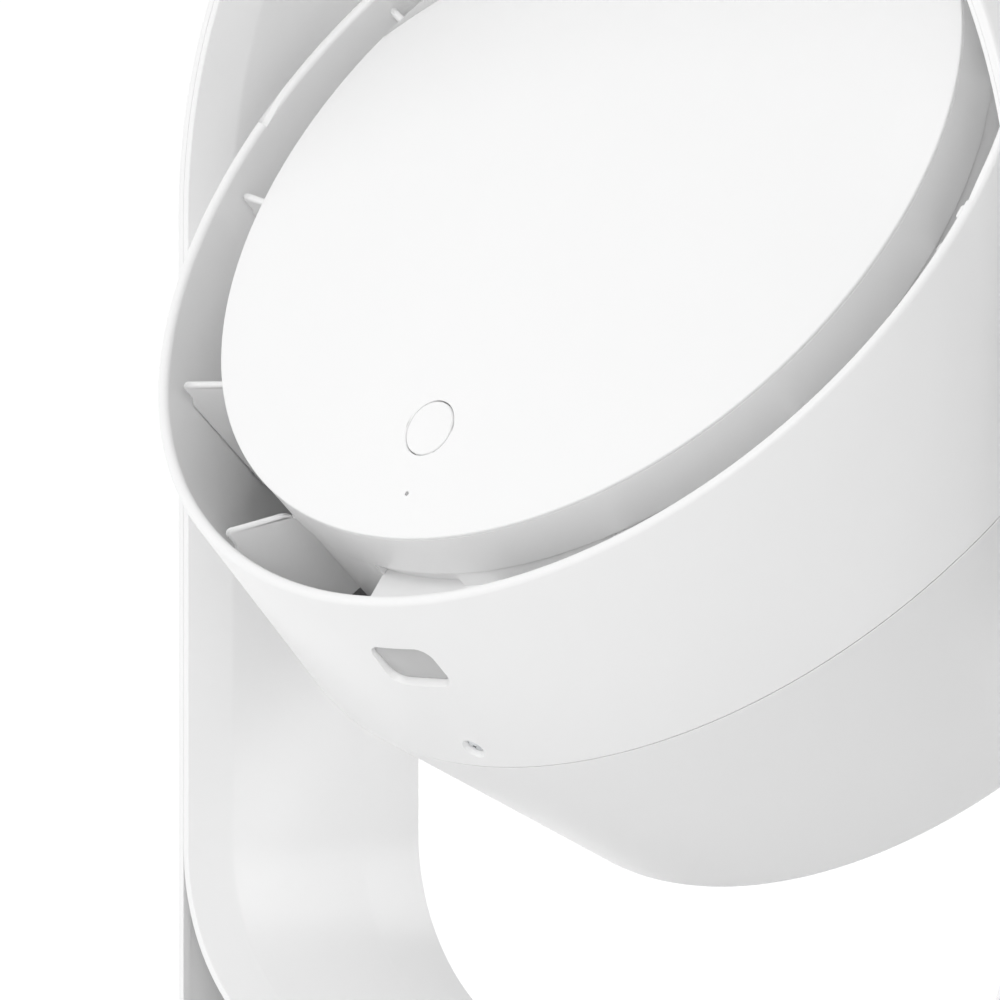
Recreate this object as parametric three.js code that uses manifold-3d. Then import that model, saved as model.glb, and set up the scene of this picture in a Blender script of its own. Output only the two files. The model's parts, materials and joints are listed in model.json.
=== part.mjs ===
// Bladeless fan: a round drum that tilts between the legs of a hoop stand.
// Millimetres, +Z up, front towards -Y, origin on the floor under the middle of the whole fan.
// Air enters the rear grille, is driven outwards by a hidden impeller and leaves forwards
// through the ring gap between the domed front cover and the lip of the drum.

import * as THREE from 'three';
import { mergeVertices } from 'three/addons/utils/BufferGeometryUtils.js';
import Module from 'manifold-3d';

const wasm = await Module();
wasm.setup();

// ---------------------------------------------------------------- driving dimensions

const GAP = 0.3; // between pieces that touch
const RUN_GAP = 0.3; // round a turning or sliding piece
const JOIN = 0.4; // how far joined shapes reach into each other
const ROUND = 60; // sides of a large round that shows
const INNER_ROUND = 30; // sides of a large round inside the drum
const SMALL_ROUND = 20; // sides of a small round
const TINY_ROUND = 12; // sides of a screw or pin
const ARCH_STEPS = 30; // flats along the half circle of the hoop

// Stand
const PIVOT_HEIGHT = 211; // tilt axis above the floor
const HOOP_DEPTH = 84; // front to back
const HOOP_THICKNESS = 8; // outside to the flat middle of the liner
const ARCH_RISE = 24.4; // arch centre above the tilt axis
const SHELL_SKIN = 2.6; // wall of the hoop shell
const FLANGE_REACH = 2.9; // how far the shell's edges turn inwards
const HOOP_EDGE_ROUND = 2; // rounding of the shell's outer edges
const FOOT_FILLET = 51; // radius where the liner's legs turn into its floor
const FLOOR_HEIGHT = 24; // liner's floor above the ground
const LINER_SKIN = 2.5; // wall of the liner at its flat middle
const LINER_EDGE = 1.5; // thickness at its front and rear edges
const LINER_LEDGE = 4; // width of its flat seat on the shell
const FRONT_MARGIN = 12.7; // sloped strip in front of the flat middle
const REAR_MARGIN = 24.3; // sloped strip behind it

// Base
const BASE_DEPTH = 190;
const BASE_CORNER = 50; // plan radius of the base's corners
const BASE_TOP_ROUND = 5; // rounding along its top edge
const BASE_SKIN = 2.6;
const FOOT_PROUD = 2; // feet below the base plate
const FOOT_RADIUS = 10;
const FOOT_THICKNESS = 3.2;
const FOOT_INSET = 34; // foot centre from the sides of the base
const PLATE_THICKNESS = 2.6;
const WEIGHT_CLEARANCE = 4; // to the driver board
const WEIGHT_WIDTH = 120;
const WEIGHT_CORNER = 8;
const WEIGHT_THICKNESS = 8;
const BOARD_THICKNESS = 1.6;
const DRIVER_LENGTH = 44;
const DRIVER_WIDTH = 64;
const DRIVER_INSET = 15.4; // from the side of the base
const CAPACITOR_RADIUS = 4;
const CAPACITOR_HEIGHT = 6;
const CAPACITOR_PITCH = 20;
const COIL_LENGTH = 14;
const COIL_WIDTH = 18;
const COIL_HEIGHT = 5;
const BASE_SCREW_X = 70;
const BASE_SCREW_INSET = 19; // from the front and rear of the base
const SCREW_RADIUS = 1.5;
const SCREW_HEAD_RADIUS = 3;
const SCREW_HEAD = 1.4;
const SCREW_BITE = 6; // thread length in the boss
const SCREW_BOSS_WALL = 2.2;
const SOCKET_RADIUS = 3.3; // bore of the power inlet
const SOCKET_DEPTH = 10;
const SOCKET_COLLAR = 5; // outer radius of its collar
const SOCKET_BODY = 13; // square body behind the collar

// Drum, depths counted backwards from the plane of the lip
const DRUM_ELEVATION = 40; // degrees that the drum looks up at rest
const PIVOT_DEPTH = 56.5;
const OUTLET_WIDTH = 16.8; // ring gap between the cover and the lip
const LIP_WIDTH = 3.2;
const LIP_ROUND = 1.3;
const CASE_FLARE = 3.5; // how much wider the casing is at the seam than at the lip
const SEAM_DEPTH = 63;
const SEAM_GAP = 0.5;
const REAR_TAPER = 24; // how much narrower the casing is at its rear face
const DRUM_DEPTH = 146;
const REAR_EDGE_ROUND = 5;
const CASE_WALL = 2.4;
const LAP_LENGTH = 23; // the rear shell's tongue inside the front shell
const GRILLE_MARGIN = 10.5; // from the casing's rear edge in to the grille
const GRILLE_THICKNESS = 3;
const GRILLE_LEDGE = 3;
const GRILLE_RIM = 5;
const GRILLE_PITCH = 7; // from slat to slat
const GRILLE_BAR = 2.2;
const NOTCH_ANGLE = 94; // from straight down, to either side
const NOTCH_LENGTH = 15; // along the lip, from its deep end to where it runs out
const NOTCH_DEPTH = 1.6;
const RUN_OUT = 0.02; // depth left at the ramp's shallow end
const WINDOW_WIDTH = 20;
const WINDOW_LENGTH = 13.5;
const WINDOW_CORNER = 4;
const WINDOW_DEPTH = 24.5; // middle of the sensor window
const WINDOW_RECESS = 1.6;
const WINDOW_PLATE = 1.2;
const CASE_SCREW_INSET = 7; // in front of the seam
const CASE_SCREW_RADIUS = 1.2;
const CASE_SCREW_HEAD = 2.1;
const CASE_SCREW_COUNT = 3;
const SIDE_SPACE = 6.9; // between the widest part of the drum and the stand

// Front cover and vane ring
const COVER_RADIUS = 110;
const COVER_CROWN = 16; // height of the dome over its rim
const COVER_PROUD = 1; // rim in front of the lip
const COVER_WALL = 2.4;
const SKIRT_WALL = 1.6;
const SKIRT_MARGIN = 3; // skirt's rear edge behind the floor of the recess
const SCOOP_ARC_RADIUS = 152.2; // lower edge of the crescent recess
const SCOOP_WIDTH = 29.4; // of the crescent at its middle
const SCOOP_DEPTH = 11; // floor of the recess behind the cover's rim
const HUB_STEP = 0.8; // hub narrower than the cover
const HUB_WALL = 2.2;
const HUB_REAR = 64;
const HUB_LEAD = 1.6; // sloped step from the spigot to the hub
const SPIGOT_WALL = 2.2;
const VANE_FIRST = 31.5; // degrees from straight down to the lowest vane on each side
const VANE_STEP = 28.7; // degrees from vane to vane
const VANES_PER_SIDE = 5; // and one more at the top
const VANE_THICKNESS = 2;
const VANE_FRONT = 4.5; // front edge at the duct's wall
const VANE_FALL = 8.9; // how much further back it is at the hub
const VANE_REAR = 45;
const BOSS_WIDTH = 42.6;
const BOSS_FRONT = 19.6;

// Button and indicator, in the cover below its middle
const BUTTON_INSET = 29; // from the cover's rim
const BUTTON_RADIUS = 7.4;
const BUTTON_CROWN = 0.5;
const BUTTON_EDGE = 0.5; // rounding of its rim
const BUTTON_LENGTH = 4.4;
const BUTTON_TRAVEL = 1.2;
const BUTTON_FLANGE = 1.2; // collar that keeps the button in, beyond its radius
const BUTTON_FLANGE_THICKNESS = 1;
const BUTTON_STEM = 2.2;
const PIN_HOLE_SPACING = 18; // below the button
const PIN_HOLE_RADIUS = 0.65;
const LIGHT_PIPE_RADIUS = 1.4;
const BOARD_DROP = 12; // control board behind the cover's face
const BOARD_WIDTH = 40;
const BOARD_LENGTH = 34;
const SWITCH_SIZE = 6;
const CHIP_SIZE = 8;
const CHIP_HEIGHT = 1;
const STANDOFF_RADIUS = 2.4;
const STANDOFF_X = 15;

// Motor and impeller
const MOTOR_RADIUS = 40;
const MOTOR_WALL = 2;
const MOTOR_LENGTH = 33.5;
const MOTOR_FLANGE = 46;
const MOTOR_FLANGE_THICKNESS = 2.5;
const MOTOR_OPENING = 41; // hole in the hub floor
const STATOR_BORE = 25;
const STATOR_LENGTH = 18;
const STATOR_SLOTS = 9;
const STATOR_SLOT_WIDTH = 3;
const STATOR_YOKE = 4; // iron outside the slots
const BOLT_EYE = 2; // opening round the shaft, beyond its radius
const AIR_GAP = 0.6;
const SHAFT_RADIUS = 4;
const BEARING_RADIUS = 11;
const BEARING_WIDTH = 7;
const IMPELLER_RADIUS = 96;
const IMPELLER_GAP = 5; // behind the hub's floor
const IMPELLER_LENGTH = 38;
const IMPELLER_PLATE = 2.2;
const IMPELLER_EYE = 62;
const IMPELLER_HUB = 15;
const IMPELLER_HUB_FLARE = 8;
const IMPELLER_HUB_SETBACK = 4; // hub's end in front of the shroud
const BLADE_COUNT = 11;
const BLADE_INNER = 46;
const BLADE_SWEEP = 48; // degrees that each blade leans back
const BLADE_THICKNESS = 1.8;
const NUT_RADIUS = 8;
const NUT_LENGTH = 7;
const NUT_SHAFT_SPARE = 2;
const BELL_LAP = 1.5; // throat narrower than the impeller's eye
const BELL_GAP = 3; // behind the impeller's shroud
const BELL_SETBACK = 9; // bell's flange in front of the drum's rear face
const BELL_MARGIN = 2; // mouth inside the grille's ledge
const BELL_WALL = 2;

// Tilt pivots
const PIN_RADIUS = 6.5;
const PIN_BORE = 3;
const PIN_FLANGE_RADIUS = 9;
const PIN_FLANGE_THICKNESS = 1.8;
const PIVOT_BOSS_RADIUS = 16;
const WASHER_RADIUS = 15;
const WASHER_THICKNESS = 3.2;
const BUSH_RADIUS = 10;
const HINGE_PLATE_THICKNESS = 1.5;
const HINGE_PLATE_MARGIN = 3.5; // from the edges of the liner's flat middle
const HINGE_PLATE_DROP = 48; // below the tilt axis

// ---------------------------------------------------------------- derived places

const LIP_Z = PIVOT_DEPTH; // lip plane in the drum's own frame
const RIM_Z = LIP_Z + COVER_PROUD;
const DUCT_RADIUS = COVER_RADIUS + OUTLET_WIDTH;
const LIP_RADIUS = DUCT_RADIUS + LIP_WIDTH;
const SEAM_RADIUS = LIP_RADIUS + CASE_FLARE;
const REAR_RADIUS = SEAM_RADIUS - REAR_TAPER;
const GRILLE_RADIUS = REAR_RADIUS - GRILLE_MARGIN;
const HUB_RADIUS = COVER_RADIUS - HUB_STEP;
const LAP_DEPTH = SEAM_DEPTH - LAP_LENGTH;
const CASE_SCREW_DEPTH = SEAM_DEPTH - CASE_SCREW_INSET;
const SKIRT_DEPTH = SCOOP_DEPTH + SKIRT_MARGIN;
const SCOOP_ARC_DROP = SCOOP_ARC_RADIUS - COVER_RADIUS + SCOOP_WIDTH;
const BUTTON_DROP = COVER_RADIUS - BUTTON_INSET;
const DOME_RADIUS = (COVER_RADIUS ** 2 + COVER_CROWN ** 2) / (2 * COVER_CROWN);
const DOME_CENTRE_Z = RIM_Z + COVER_CROWN - DOME_RADIUS;
const SKIRT_BORE = COVER_RADIUS - SKIRT_WALL;
const HOOP_INSIDE = SEAM_RADIUS + SIDE_SPACE;
const HOOP_RADIUS = HOOP_INSIDE + HOOP_THICKNESS; // outside of the arch, half the width of the stand
const PIVOT_BOSS_FACE = HOOP_INSIDE - WASHER_THICKNESS - 2 * GAP;
const ARCH_Z = PIVOT_HEIGHT + ARCH_RISE;
const FILLET_X = HOOP_INSIDE - FOOT_FILLET;
const FILLET_Z = FLOOR_HEIGHT + FOOT_FILLET;
const LINER_SEAT = FLANGE_REACH + GAP; // liner's edges, counted from outside
const LINER_BOTTOM = FLOOR_HEIGHT - HOOP_THICKNESS + LINER_SEAT;
const BASE_TOP = LINER_BOTTOM - GAP;
const BASE_BOTTOM = FOOT_PROUD + GAP;
const TONGUE_OUTSIDE = caseRadius(LAP_DEPTH) - CASE_WALL - GAP;
const TONGUE_INSIDE = TONGUE_OUTSIDE - CASE_WALL;
const REAR_FACE_Z = LIP_Z - DRUM_DEPTH;
const BELL_REAR = DRUM_DEPTH - BELL_SETBACK;
const BELL_THROAT = IMPELLER_EYE - BELL_LAP;
const IMPELLER_FRONT = HUB_REAR + IMPELLER_GAP;
const IMPELLER_REAR = IMPELLER_FRONT + IMPELLER_LENGTH;
const MOTOR_REAR = HUB_REAR - HUB_WALL - GAP;
const MOTOR_FRONT = MOTOR_REAR - MOTOR_LENGTH;
const STATOR_FRONT = MOTOR_FRONT + MOTOR_WALL + BEARING_WIDTH;
const SHAFT_REAR = IMPELLER_REAR + NUT_LENGTH - NUT_SHAFT_SPARE;
const DRIVER_X = HOOP_RADIUS - DRIVER_INSET - DRIVER_LENGTH; // inner end of the driver board
const WEIGHT_LENGTH = 2 * (DRIVER_X - WEIGHT_CLEARANCE);
const BASE_SCREW_Y = BASE_DEPTH / 2 - BASE_SCREW_INSET;
const CUT_REACH = SEAM_RADIUS + SIDE_SPACE; // past every wall of the drum, for cuts through them
const SPIGOT_FRONT = SCOOP_DEPTH + SKIRT_WALL - COVER_PROUD + GAP;

/** Outside radius of the front shell at a depth behind the lip. */
function caseRadius(depth) {
  return LIP_RADIUS + ((SEAM_RADIUS - LIP_RADIUS) * depth) / SEAM_DEPTH;
}

/** Outside radius of the rear shell at a depth behind the lip. */
function rearRadius(depth) {
  return SEAM_RADIUS - ((SEAM_RADIUS - REAR_RADIUS) * (depth - SEAM_DEPTH)) / (DRUM_DEPTH - SEAM_DEPTH);
}

/** Height of the dome at a radius, in the drum's own frame. */
function domeZ(radius, sphere = DOME_RADIUS) {
  return DOME_CENTRE_Z + Math.sqrt(sphere ** 2 - radius ** 2);
}

// ---------------------------------------------------------------- shape helpers

const radians = THREE.MathUtils.degToRad;

/** A closed geometry as a solid with its faces outwards, ready to be joined or cut. */
function solid(geometry) {
  const bare = geometry.clone();
  bare.deleteAttribute('normal');
  bare.deleteAttribute('uv');
  const welded = mergeVertices(bare, 1e-4);
  const positions = welded.getAttribute('position').array;
  const corners = welded.getIndex().array;
  const triangles = [];
  let volume = 0;
  for (let i = 0; i < corners.length; i += 3) {
    const [a, b, c] = corners.slice(i, i + 3);
    if (a === b || b === c || c === a) continue;
    triangles.push(a, b, c);
    const [va, vb, vc] = [a, b, c].map((k) => new THREE.Vector3().fromArray(positions, 3 * k));
    volume += va.dot(vb.cross(vc));
  }
  if (volume < 0) triangles.reverse();
  const vertProperties = Float32Array.from(positions);
  const triVerts = Uint32Array.from(triangles);
  return new wasm.Manifold(new wasm.Mesh({ numProp: 3, vertProperties, triVerts }));
}

/** A named mesh of a solid, in its own material. */
function piece(name, body, finish) {
  const { numProp, vertProperties, triVerts } = body.getMesh();
  const geometry = new THREE.BufferGeometry();
  geometry.setAttribute('position', new THREE.BufferAttribute(vertProperties, numProp));
  geometry.setIndex(new THREE.BufferAttribute(triVerts, 1));
  geometry.computeVertexNormals();
  const mesh = new THREE.Mesh(geometry, new THREE.MeshStandardMaterial(finish));
  mesh.name = name;
  return mesh;
}

/** Joins several solids. */
function join(first, ...others) {
  return others.reduce((sum, other) => sum.add(other), first);
}

/** Cuts several solids out of the first. */
function cut(first, ...others) {
  return others.reduce((rest, other) => rest.subtract(other), first);
}

/** Turns a profile of [radius, z] pairs about the Z axis. */
function revolve(profile, sides = ROUND) {
  const points = profile.map(([radius, z]) => new THREE.Vector2(radius, z));
  return new THREE.LatheGeometry(points, sides).rotateX(Math.PI / 2);
}

/** Turns a closed profile of [radius, depth] pairs, depths counted behind the lip. */
function drumRing(profile, sides = ROUND) {
  const closed = [...profile, profile[0]];
  return revolve(closed.map(([radius, depth]) => [radius, LIP_Z - depth]), sides);
}

/** A plain rod along Z. */
function rod(radius, low, high, sides = SMALL_ROUND) {
  return revolve([[0, low], [radius, low], [radius, high], [0, high]], sides);
}

/** A plain tube along Z. */
function tube(bore, radius, low, high, sides = SMALL_ROUND) {
  return revolve([[bore, low], [radius, low], [radius, high], [bore, high], [bore, low]], sides);
}

/** A box between two corners. */
function box([x0, y0, z0], [x1, y1, z1]) {
  const shape = new THREE.BoxGeometry(x1 - x0, y1 - y0, z1 - z0);
  return shape.translate((x0 + x1) / 2, (y0 + y1) / 2, (z0 + z1) / 2);
}

/** A flat outline in XY, raised from low to high. */
function prism(outline, low, high) {
  const shape = outline instanceof THREE.Shape ? outline : new THREE.Shape(outline);
  const options = { depth: high - low, bevelEnabled: false, curveSegments: 8 };
  return new THREE.ExtrudeGeometry(shape, options).translate(0, 0, low);
}

/** Points along an arc, angles in degrees. */
function arc([x, y], radius, from, to, steps) {
  const points = [];
  for (let i = 0; i <= steps; i += 1) {
    const angle = radians(from + ((to - from) * i) / steps);
    points.push(new THREE.Vector2(x + radius * Math.cos(angle), y + radius * Math.sin(angle)));
  }
  return points;
}

/** A rectangle with rounded corners, centred on the origin. */
function roundedRectangle(width, depth, corner, steps = 6) {
  const x = width / 2 - corner;
  const y = depth / 2 - corner;
  return [
    ...arc([x, y], corner, 0, 90, steps),
    ...arc([-x, y], corner, 90, 180, steps),
    ...arc([-x, -y], corner, 180, 270, steps),
    ...arc([x, -y], corner, 270, 360, steps),
  ];
}

/** A hoop outline in XZ, as XY points, raised front to back and centred on y = 0. */
function hoopPrism(outline, depth, edge = 0) {
  const options = {
    depth: depth - 2 * edge,
    bevelEnabled: edge > 0,
    bevelSize: edge,
    bevelThickness: edge,
    bevelOffset: -edge,
    bevelSegments: 2,
  };
  const shape = new THREE.ExtrudeGeometry(new THREE.Shape(outline), options);
  return shape.rotateX(Math.PI / 2).translate(0, depth / 2 - edge, 0);
}

/** The same geometry turned to stand along +X or -X. */
function sideways(geometry, side) {
  return geometry.rotateY((side * Math.PI) / 2);
}

// ---------------------------------------------------------------- finishes

const WHITE_PLASTIC = { color: 0xf2f2f1, roughness: 0.35, metalness: 0 };
const GREY_PLASTIC = { color: 0xbdbdbc, roughness: 0.45, metalness: 0 };
const DARK_PLASTIC = { color: 0x3b3d3f, roughness: 0.5, metalness: 0 };
const CLEAR_GREY = { color: 0x4a4c4e, roughness: 0.15, metalness: 0 };
const STEEL = { color: 0x9c9fa1, roughness: 0.35, metalness: 1 };
const RUBBER = { color: 0x2c2c2d, roughness: 0.8, metalness: 0 };
const BOARD_GREEN = { color: 0x1f5a3a, roughness: 0.5, metalness: 0 };
const COPPER = { color: 0xb0703f, roughness: 0.4, metalness: 0.8 };

// ---------------------------------------------------------------- stand

/** Outside outline of the hoop, shrunk by an inset, with straight legs to a floor height. */
function archOutline(inset, bottom) {
  const x = HOOP_RADIUS - inset;
  return [...arc([0, ARCH_Z], x, 0, 180, ARCH_STEPS), new THREE.Vector2(-x, bottom), new THREE.Vector2(x, bottom)];
}

/** Closed outline of the liner's inside, at a distance from the outside of the hoop. */
function linerOutline(inset) {
  const fillet = FOOT_FILLET + HOOP_THICKNESS - inset;
  return [
    ...arc([0, ARCH_Z], HOOP_RADIUS - inset, 0, 180, ARCH_STEPS),
    ...arc([-FILLET_X, FILLET_Z], fillet, 180, 270, 7),
    ...arc([FILLET_X, FILLET_Z], fillet, 270, 360, 7),
  ];
}

/** White channel-shaped shell of the arch and legs. */
function hoopShell() {
  const outside = solid(hoopPrism(archOutline(0, BASE_BOTTOM), HOOP_DEPTH, HOOP_EDGE_ROUND));
  const seat = solid(hoopPrism(linerOutline(FLANGE_REACH), 2 * HOOP_DEPTH));
  const hollow = solid(hoopPrism(archOutline(SHELL_SKIN, 0), HOOP_DEPTH - 2 * SHELL_SKIN));
  const tongueX = HOOP_RADIUS - SHELL_SKIN;
  const base = solid(box([-tongueX, -HOOP_DEPTH, 0], [tongueX, HOOP_DEPTH, BASE_TOP + GAP]));
  return cut(outside, seat, hollow, base);
}

/** Cross-section of the liner as [y, inset] pairs, anticlockwise seen from its end. */
function linerSection() {
  const edge = HOOP_DEPTH / 2;
  const flatInside = HOOP_THICKNESS - LINER_SKIN;
  return [
    [-edge, LINER_SEAT],
    [-edge, LINER_SEAT + LINER_EDGE],
    [FRONT_MARGIN - edge, HOOP_THICKNESS],
    [edge - REAR_MARGIN, HOOP_THICKNESS],
    [edge, LINER_SEAT + LINER_EDGE],
    [edge, LINER_SEAT],
    [edge - LINER_LEDGE, LINER_SEAT],
    [edge - REAR_MARGIN, flatInside],
    [FRONT_MARGIN - edge, flatInside],
    [LINER_LEDGE - edge, LINER_SEAT],
  ];
}

/** Closed band swept round the inside of the hoop. */
function linerBand() {
  const section = linerSection();
  const rings = section.map(([y, inset]) => linerOutline(inset).map((p) => [p.x, y, p.y]));
  const count = rings[0].length;
  const index = [];
  rings.forEach((ring, i) => {
    const row = i * count;
    const next = ((i + 1) % rings.length) * count;
    for (let j = 0; j < count; j += 1) {
      const k = (j + 1) % count;
      index.push(row + j, row + k, next + j, row + k, next + k, next + j);
    }
  });
  const geometry = new THREE.BufferGeometry();
  geometry.setAttribute('position', new THREE.Float32BufferAttribute(rings.flat(2), 3));
  geometry.setIndex(index);
  return geometry;
}

/** White liner with a hole for each pivot bush. */
function hoopLiner() {
  const holes = [1, -1].map((side) => solid(onTiltAxis(rod(BUSH_RADIUS + GAP, SEAM_RADIUS, HOOP_RADIUS), side)));
  return cut(solid(linerBand()), ...holes);
}

/** Moves a shape drawn along +Z onto the tilt axis, on one side. */
function onTiltAxis(geometry, side) {
  return sideways(geometry, side).translate(0, 0, PIVOT_HEIGHT);
}

/** Places of the base screws, one in each corner. */
function screwPlaces() {
  return [-1, 1].flatMap((x) => [-1, 1].map((y) => [x * BASE_SCREW_X, y * BASE_SCREW_Y]));
}

/** White cover of the base, open below, with slots for the hoop's legs. */
function baseCover() {
  const width = 2 * HOOP_RADIUS;
  const options = {
    depth: BASE_TOP - BASE_BOTTOM - BASE_TOP_ROUND,
    bevelSize: BASE_TOP_ROUND,
    bevelThickness: BASE_TOP_ROUND,
    bevelOffset: -BASE_TOP_ROUND,
    bevelSegments: 3,
  };
  const plan = new THREE.Shape(roundedRectangle(width, BASE_DEPTH, BASE_CORNER));
  const block = new THREE.ExtrudeGeometry(plan, options).translate(0, 0, BASE_BOTTOM);
  const below = box([-width, -BASE_DEPTH, -BASE_TOP], [width, BASE_DEPTH, BASE_BOTTOM]);
  const inner = roundedRectangle(width - 2 * BASE_SKIN, BASE_DEPTH - 2 * BASE_SKIN, BASE_CORNER - BASE_SKIN);
  const hollow = prism(inner, 0, BASE_TOP - BASE_SKIN);
  const slotX = HOOP_RADIUS - SHELL_SKIN - GAP;
  const slotY = HOOP_DEPTH / 2 + GAP;
  const slots = [1, -1].map((side) => solid(box(
    [Math.min(side * slotX, side * width), -slotY, 0],
    [Math.max(side * slotX, side * width), slotY, 2 * BASE_TOP],
  )));
  const backing = [1, -1].map((side) => {
    const inside = side * (slotX - BASE_SKIN);
    return solid(box(
      [Math.min(side * slotX, inside), -slotY - BASE_SKIN, BASE_BOTTOM],
      [Math.max(side * slotX, inside), slotY + BASE_SKIN, BASE_TOP - BASE_SKIN + JOIN],
    ));
  });
  const socket = rod(SOCKET_COLLAR + GAP, 0, BASE_DEPTH).rotateX(-Math.PI / 2).translate(0, 0, socketHeight());
  const shell = cut(solid(block), solid(below), solid(hollow), ...slots);
  const bosses = screwPlaces().map(([x, y]) => solid(
    rod(SCREW_RADIUS + SCREW_BOSS_WALL, plateTop() + GAP, BASE_TOP - JOIN, TINY_ROUND).translate(x, y, 0),
  ));
  const pilots = screwPlaces().map(([x, y]) => solid(
    rod(SCREW_RADIUS + GAP, 0, plateTop() + SCREW_BITE + GAP, TINY_ROUND).translate(x, y, 0),
  ));
  return cut(join(shell, ...backing, ...bosses), ...pilots, solid(socket));
}

/** Top of the base plate. */
function plateTop() {
  return FOOT_PROUD + PLATE_THICKNESS;
}

/** Height of the power inlet's axis. */
function socketHeight() {
  return (plateTop() + BASE_TOP - BASE_SKIN) / 2;
}

/** Places of the four feet. */
function footPlaces() {
  const x = HOOP_RADIUS - FOOT_INSET;
  const y = BASE_DEPTH / 2 - FOOT_INSET;
  return [[-x, -y], [x, -y], [x, y], [-x, y]];
}

/** Plate that closes the base, with a seat for each foot and a hole for each screw. */
function basePlate() {
  const inset = BASE_SKIN + GAP;
  const slotInset = SHELL_SKIN + BASE_SKIN + 2 * GAP;
  const outline = roundedRectangle(2 * (HOOP_RADIUS - inset), BASE_DEPTH - 2 * inset, BASE_CORNER - inset);
  const plate = solid(prism(outline, FOOT_PROUD, plateTop()));
  const limitX = HOOP_RADIUS - slotInset;
  const limitY = HOOP_DEPTH / 2 + BASE_SKIN + 2 * GAP;
  const reliefs = [1, -1].map((side) => solid(box(
    [Math.min(side * limitX, side * 2 * HOOP_RADIUS), -limitY, 0],
    [Math.max(side * limitX, side * 2 * HOOP_RADIUS), limitY, BASE_TOP],
  )));
  const seatTop = FOOT_THICKNESS + GAP;
  const seats = footPlaces().map(([x, y]) => solid(rod(FOOT_RADIUS + GAP, 0, seatTop).translate(x, y, 0)));
  const holes = screwPlaces().flatMap(([x, y]) => [
    solid(rod(SCREW_RADIUS + GAP, 0, BASE_TOP, TINY_ROUND).translate(x, y, 0)),
    solid(rod(SCREW_HEAD_RADIUS + GAP, 0, FOOT_PROUD + SCREW_HEAD + GAP, TINY_ROUND).translate(x, y, 0)),
  ]);
  return cut(plate, ...reliefs, ...seats, ...holes);
}

/** Steel ballast plate. */
function baseWeight() {
  const low = plateTop() + GAP;
  return solid(prism(roundedRectangle(WEIGHT_LENGTH, WEIGHT_WIDTH, WEIGHT_CORNER, 3), low, low + WEIGHT_THICKNESS));
}

/** Rubber foot at a place under the base. */
function rubberFoot([x, y]) {
  const edge = 0.6;
  const profile = [
    [0, 0],
    [FOOT_RADIUS - edge, 0],
    [FOOT_RADIUS, edge],
    [FOOT_RADIUS, FOOT_THICKNESS],
    [0, FOOT_THICKNESS],
  ];
  return solid(revolve(profile, SMALL_ROUND).translate(x, y, 0));
}

/** Screw that holds the plate to the cover, at a place under the base. */
function baseScrew([x, y]) {
  const head = FOOT_PROUD + SCREW_HEAD;
  const profile = [
    [0, FOOT_PROUD],
    [SCREW_HEAD_RADIUS, FOOT_PROUD],
    [SCREW_HEAD_RADIUS, head],
    [SCREW_RADIUS, head],
    [SCREW_RADIUS, plateTop() + SCREW_BITE],
    [0, plateTop() + SCREW_BITE],
  ];
  return solid(revolve(profile, TINY_ROUND).translate(x, y, 0));
}

/** Power inlet with a round bore, behind the rear wall of the base. */
function powerInlet() {
  const wall = BASE_DEPTH / 2 - BASE_SKIN - GAP;
  const mouth = BASE_DEPTH / 2;
  const half = SOCKET_BODY / 2;
  const low = plateTop() + GAP;
  const high = BASE_TOP - BASE_SKIN - GAP;
  const body = solid(box([-half, wall - SOCKET_BODY, low], [half, wall, high]));
  const turn = (geometry) => solid(geometry.rotateX(-Math.PI / 2).translate(0, 0, socketHeight()));
  const collar = turn(rod(SOCKET_COLLAR, wall - JOIN, mouth));
  const bore = turn(rod(SOCKET_RADIUS, mouth - SOCKET_DEPTH, mouth + JOIN));
  return cut(join(body, collar), bore);
}

/** Driver board with its coil and capacitors. */
function driverBoard() {
  const low = plateTop() + GAP;
  const top = low + BOARD_THICKNESS;
  const end = DRIVER_X + DRIVER_LENGTH;
  const board = solid(box([DRIVER_X, -DRIVER_WIDTH / 2, low], [end, DRIVER_WIDTH / 2, top]));
  const canX = DRIVER_X + 2 * CAPACITOR_RADIUS;
  const cans = [-1, 0, 1].map((row) => solid(
    rod(CAPACITOR_RADIUS, top - JOIN, top + CAPACITOR_HEIGHT, TINY_ROUND).translate(canX, row * CAPACITOR_PITCH, 0),
  ));
  const coilX = end - COIL_LENGTH;
  const coil = solid(box(
    [coilX - COIL_LENGTH / 2, -COIL_WIDTH / 2, top - JOIN],
    [coilX + COIL_LENGTH / 2, COIL_WIDTH / 2, top + COIL_HEIGHT],
  ));
  return join(board, ...cans, coil);
}

/** Flanged bush that carries a pivot pin in the leg. */
function pivotBush(side) {
  const outer = HOOP_RADIUS - SHELL_SKIN - GAP;
  return solid(onTiltAxis(tube(PIN_RADIUS + RUN_GAP, BUSH_RADIUS, HOOP_INSIDE, outer), side));
}

/** Friction washer between the drum's side boss and the liner. */
function frictionWasher(side) {
  const low = PIVOT_BOSS_FACE + GAP;
  return solid(onTiltAxis(tube(PIN_RADIUS + RUN_GAP, WASHER_RADIUS, low, HOOP_INSIDE - GAP), side));
}

/** Steel plate behind the liner that stiffens the leg round the bush. */
function hingePlate(side) {
  const outer = HOOP_RADIUS - SHELL_SKIN - GAP;
  const inner = outer - HINGE_PLATE_THICKNESS;
  const middle = (FRONT_MARGIN - REAR_MARGIN) / 2;
  const half = (HOOP_DEPTH - FRONT_MARGIN - REAR_MARGIN) / 2 - HINGE_PLATE_MARGIN;
  const plate = solid(box(
    [Math.min(side * inner, side * outer), middle - half, PIVOT_HEIGHT - HINGE_PLATE_DROP],
    [Math.max(side * inner, side * outer), middle + half, ARCH_Z - GAP],
  ));
  return cut(plate, solid(onTiltAxis(rod(BUSH_RADIUS + GAP, 0, HOOP_RADIUS), side)));
}

// ---------------------------------------------------------------- drum casing

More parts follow.
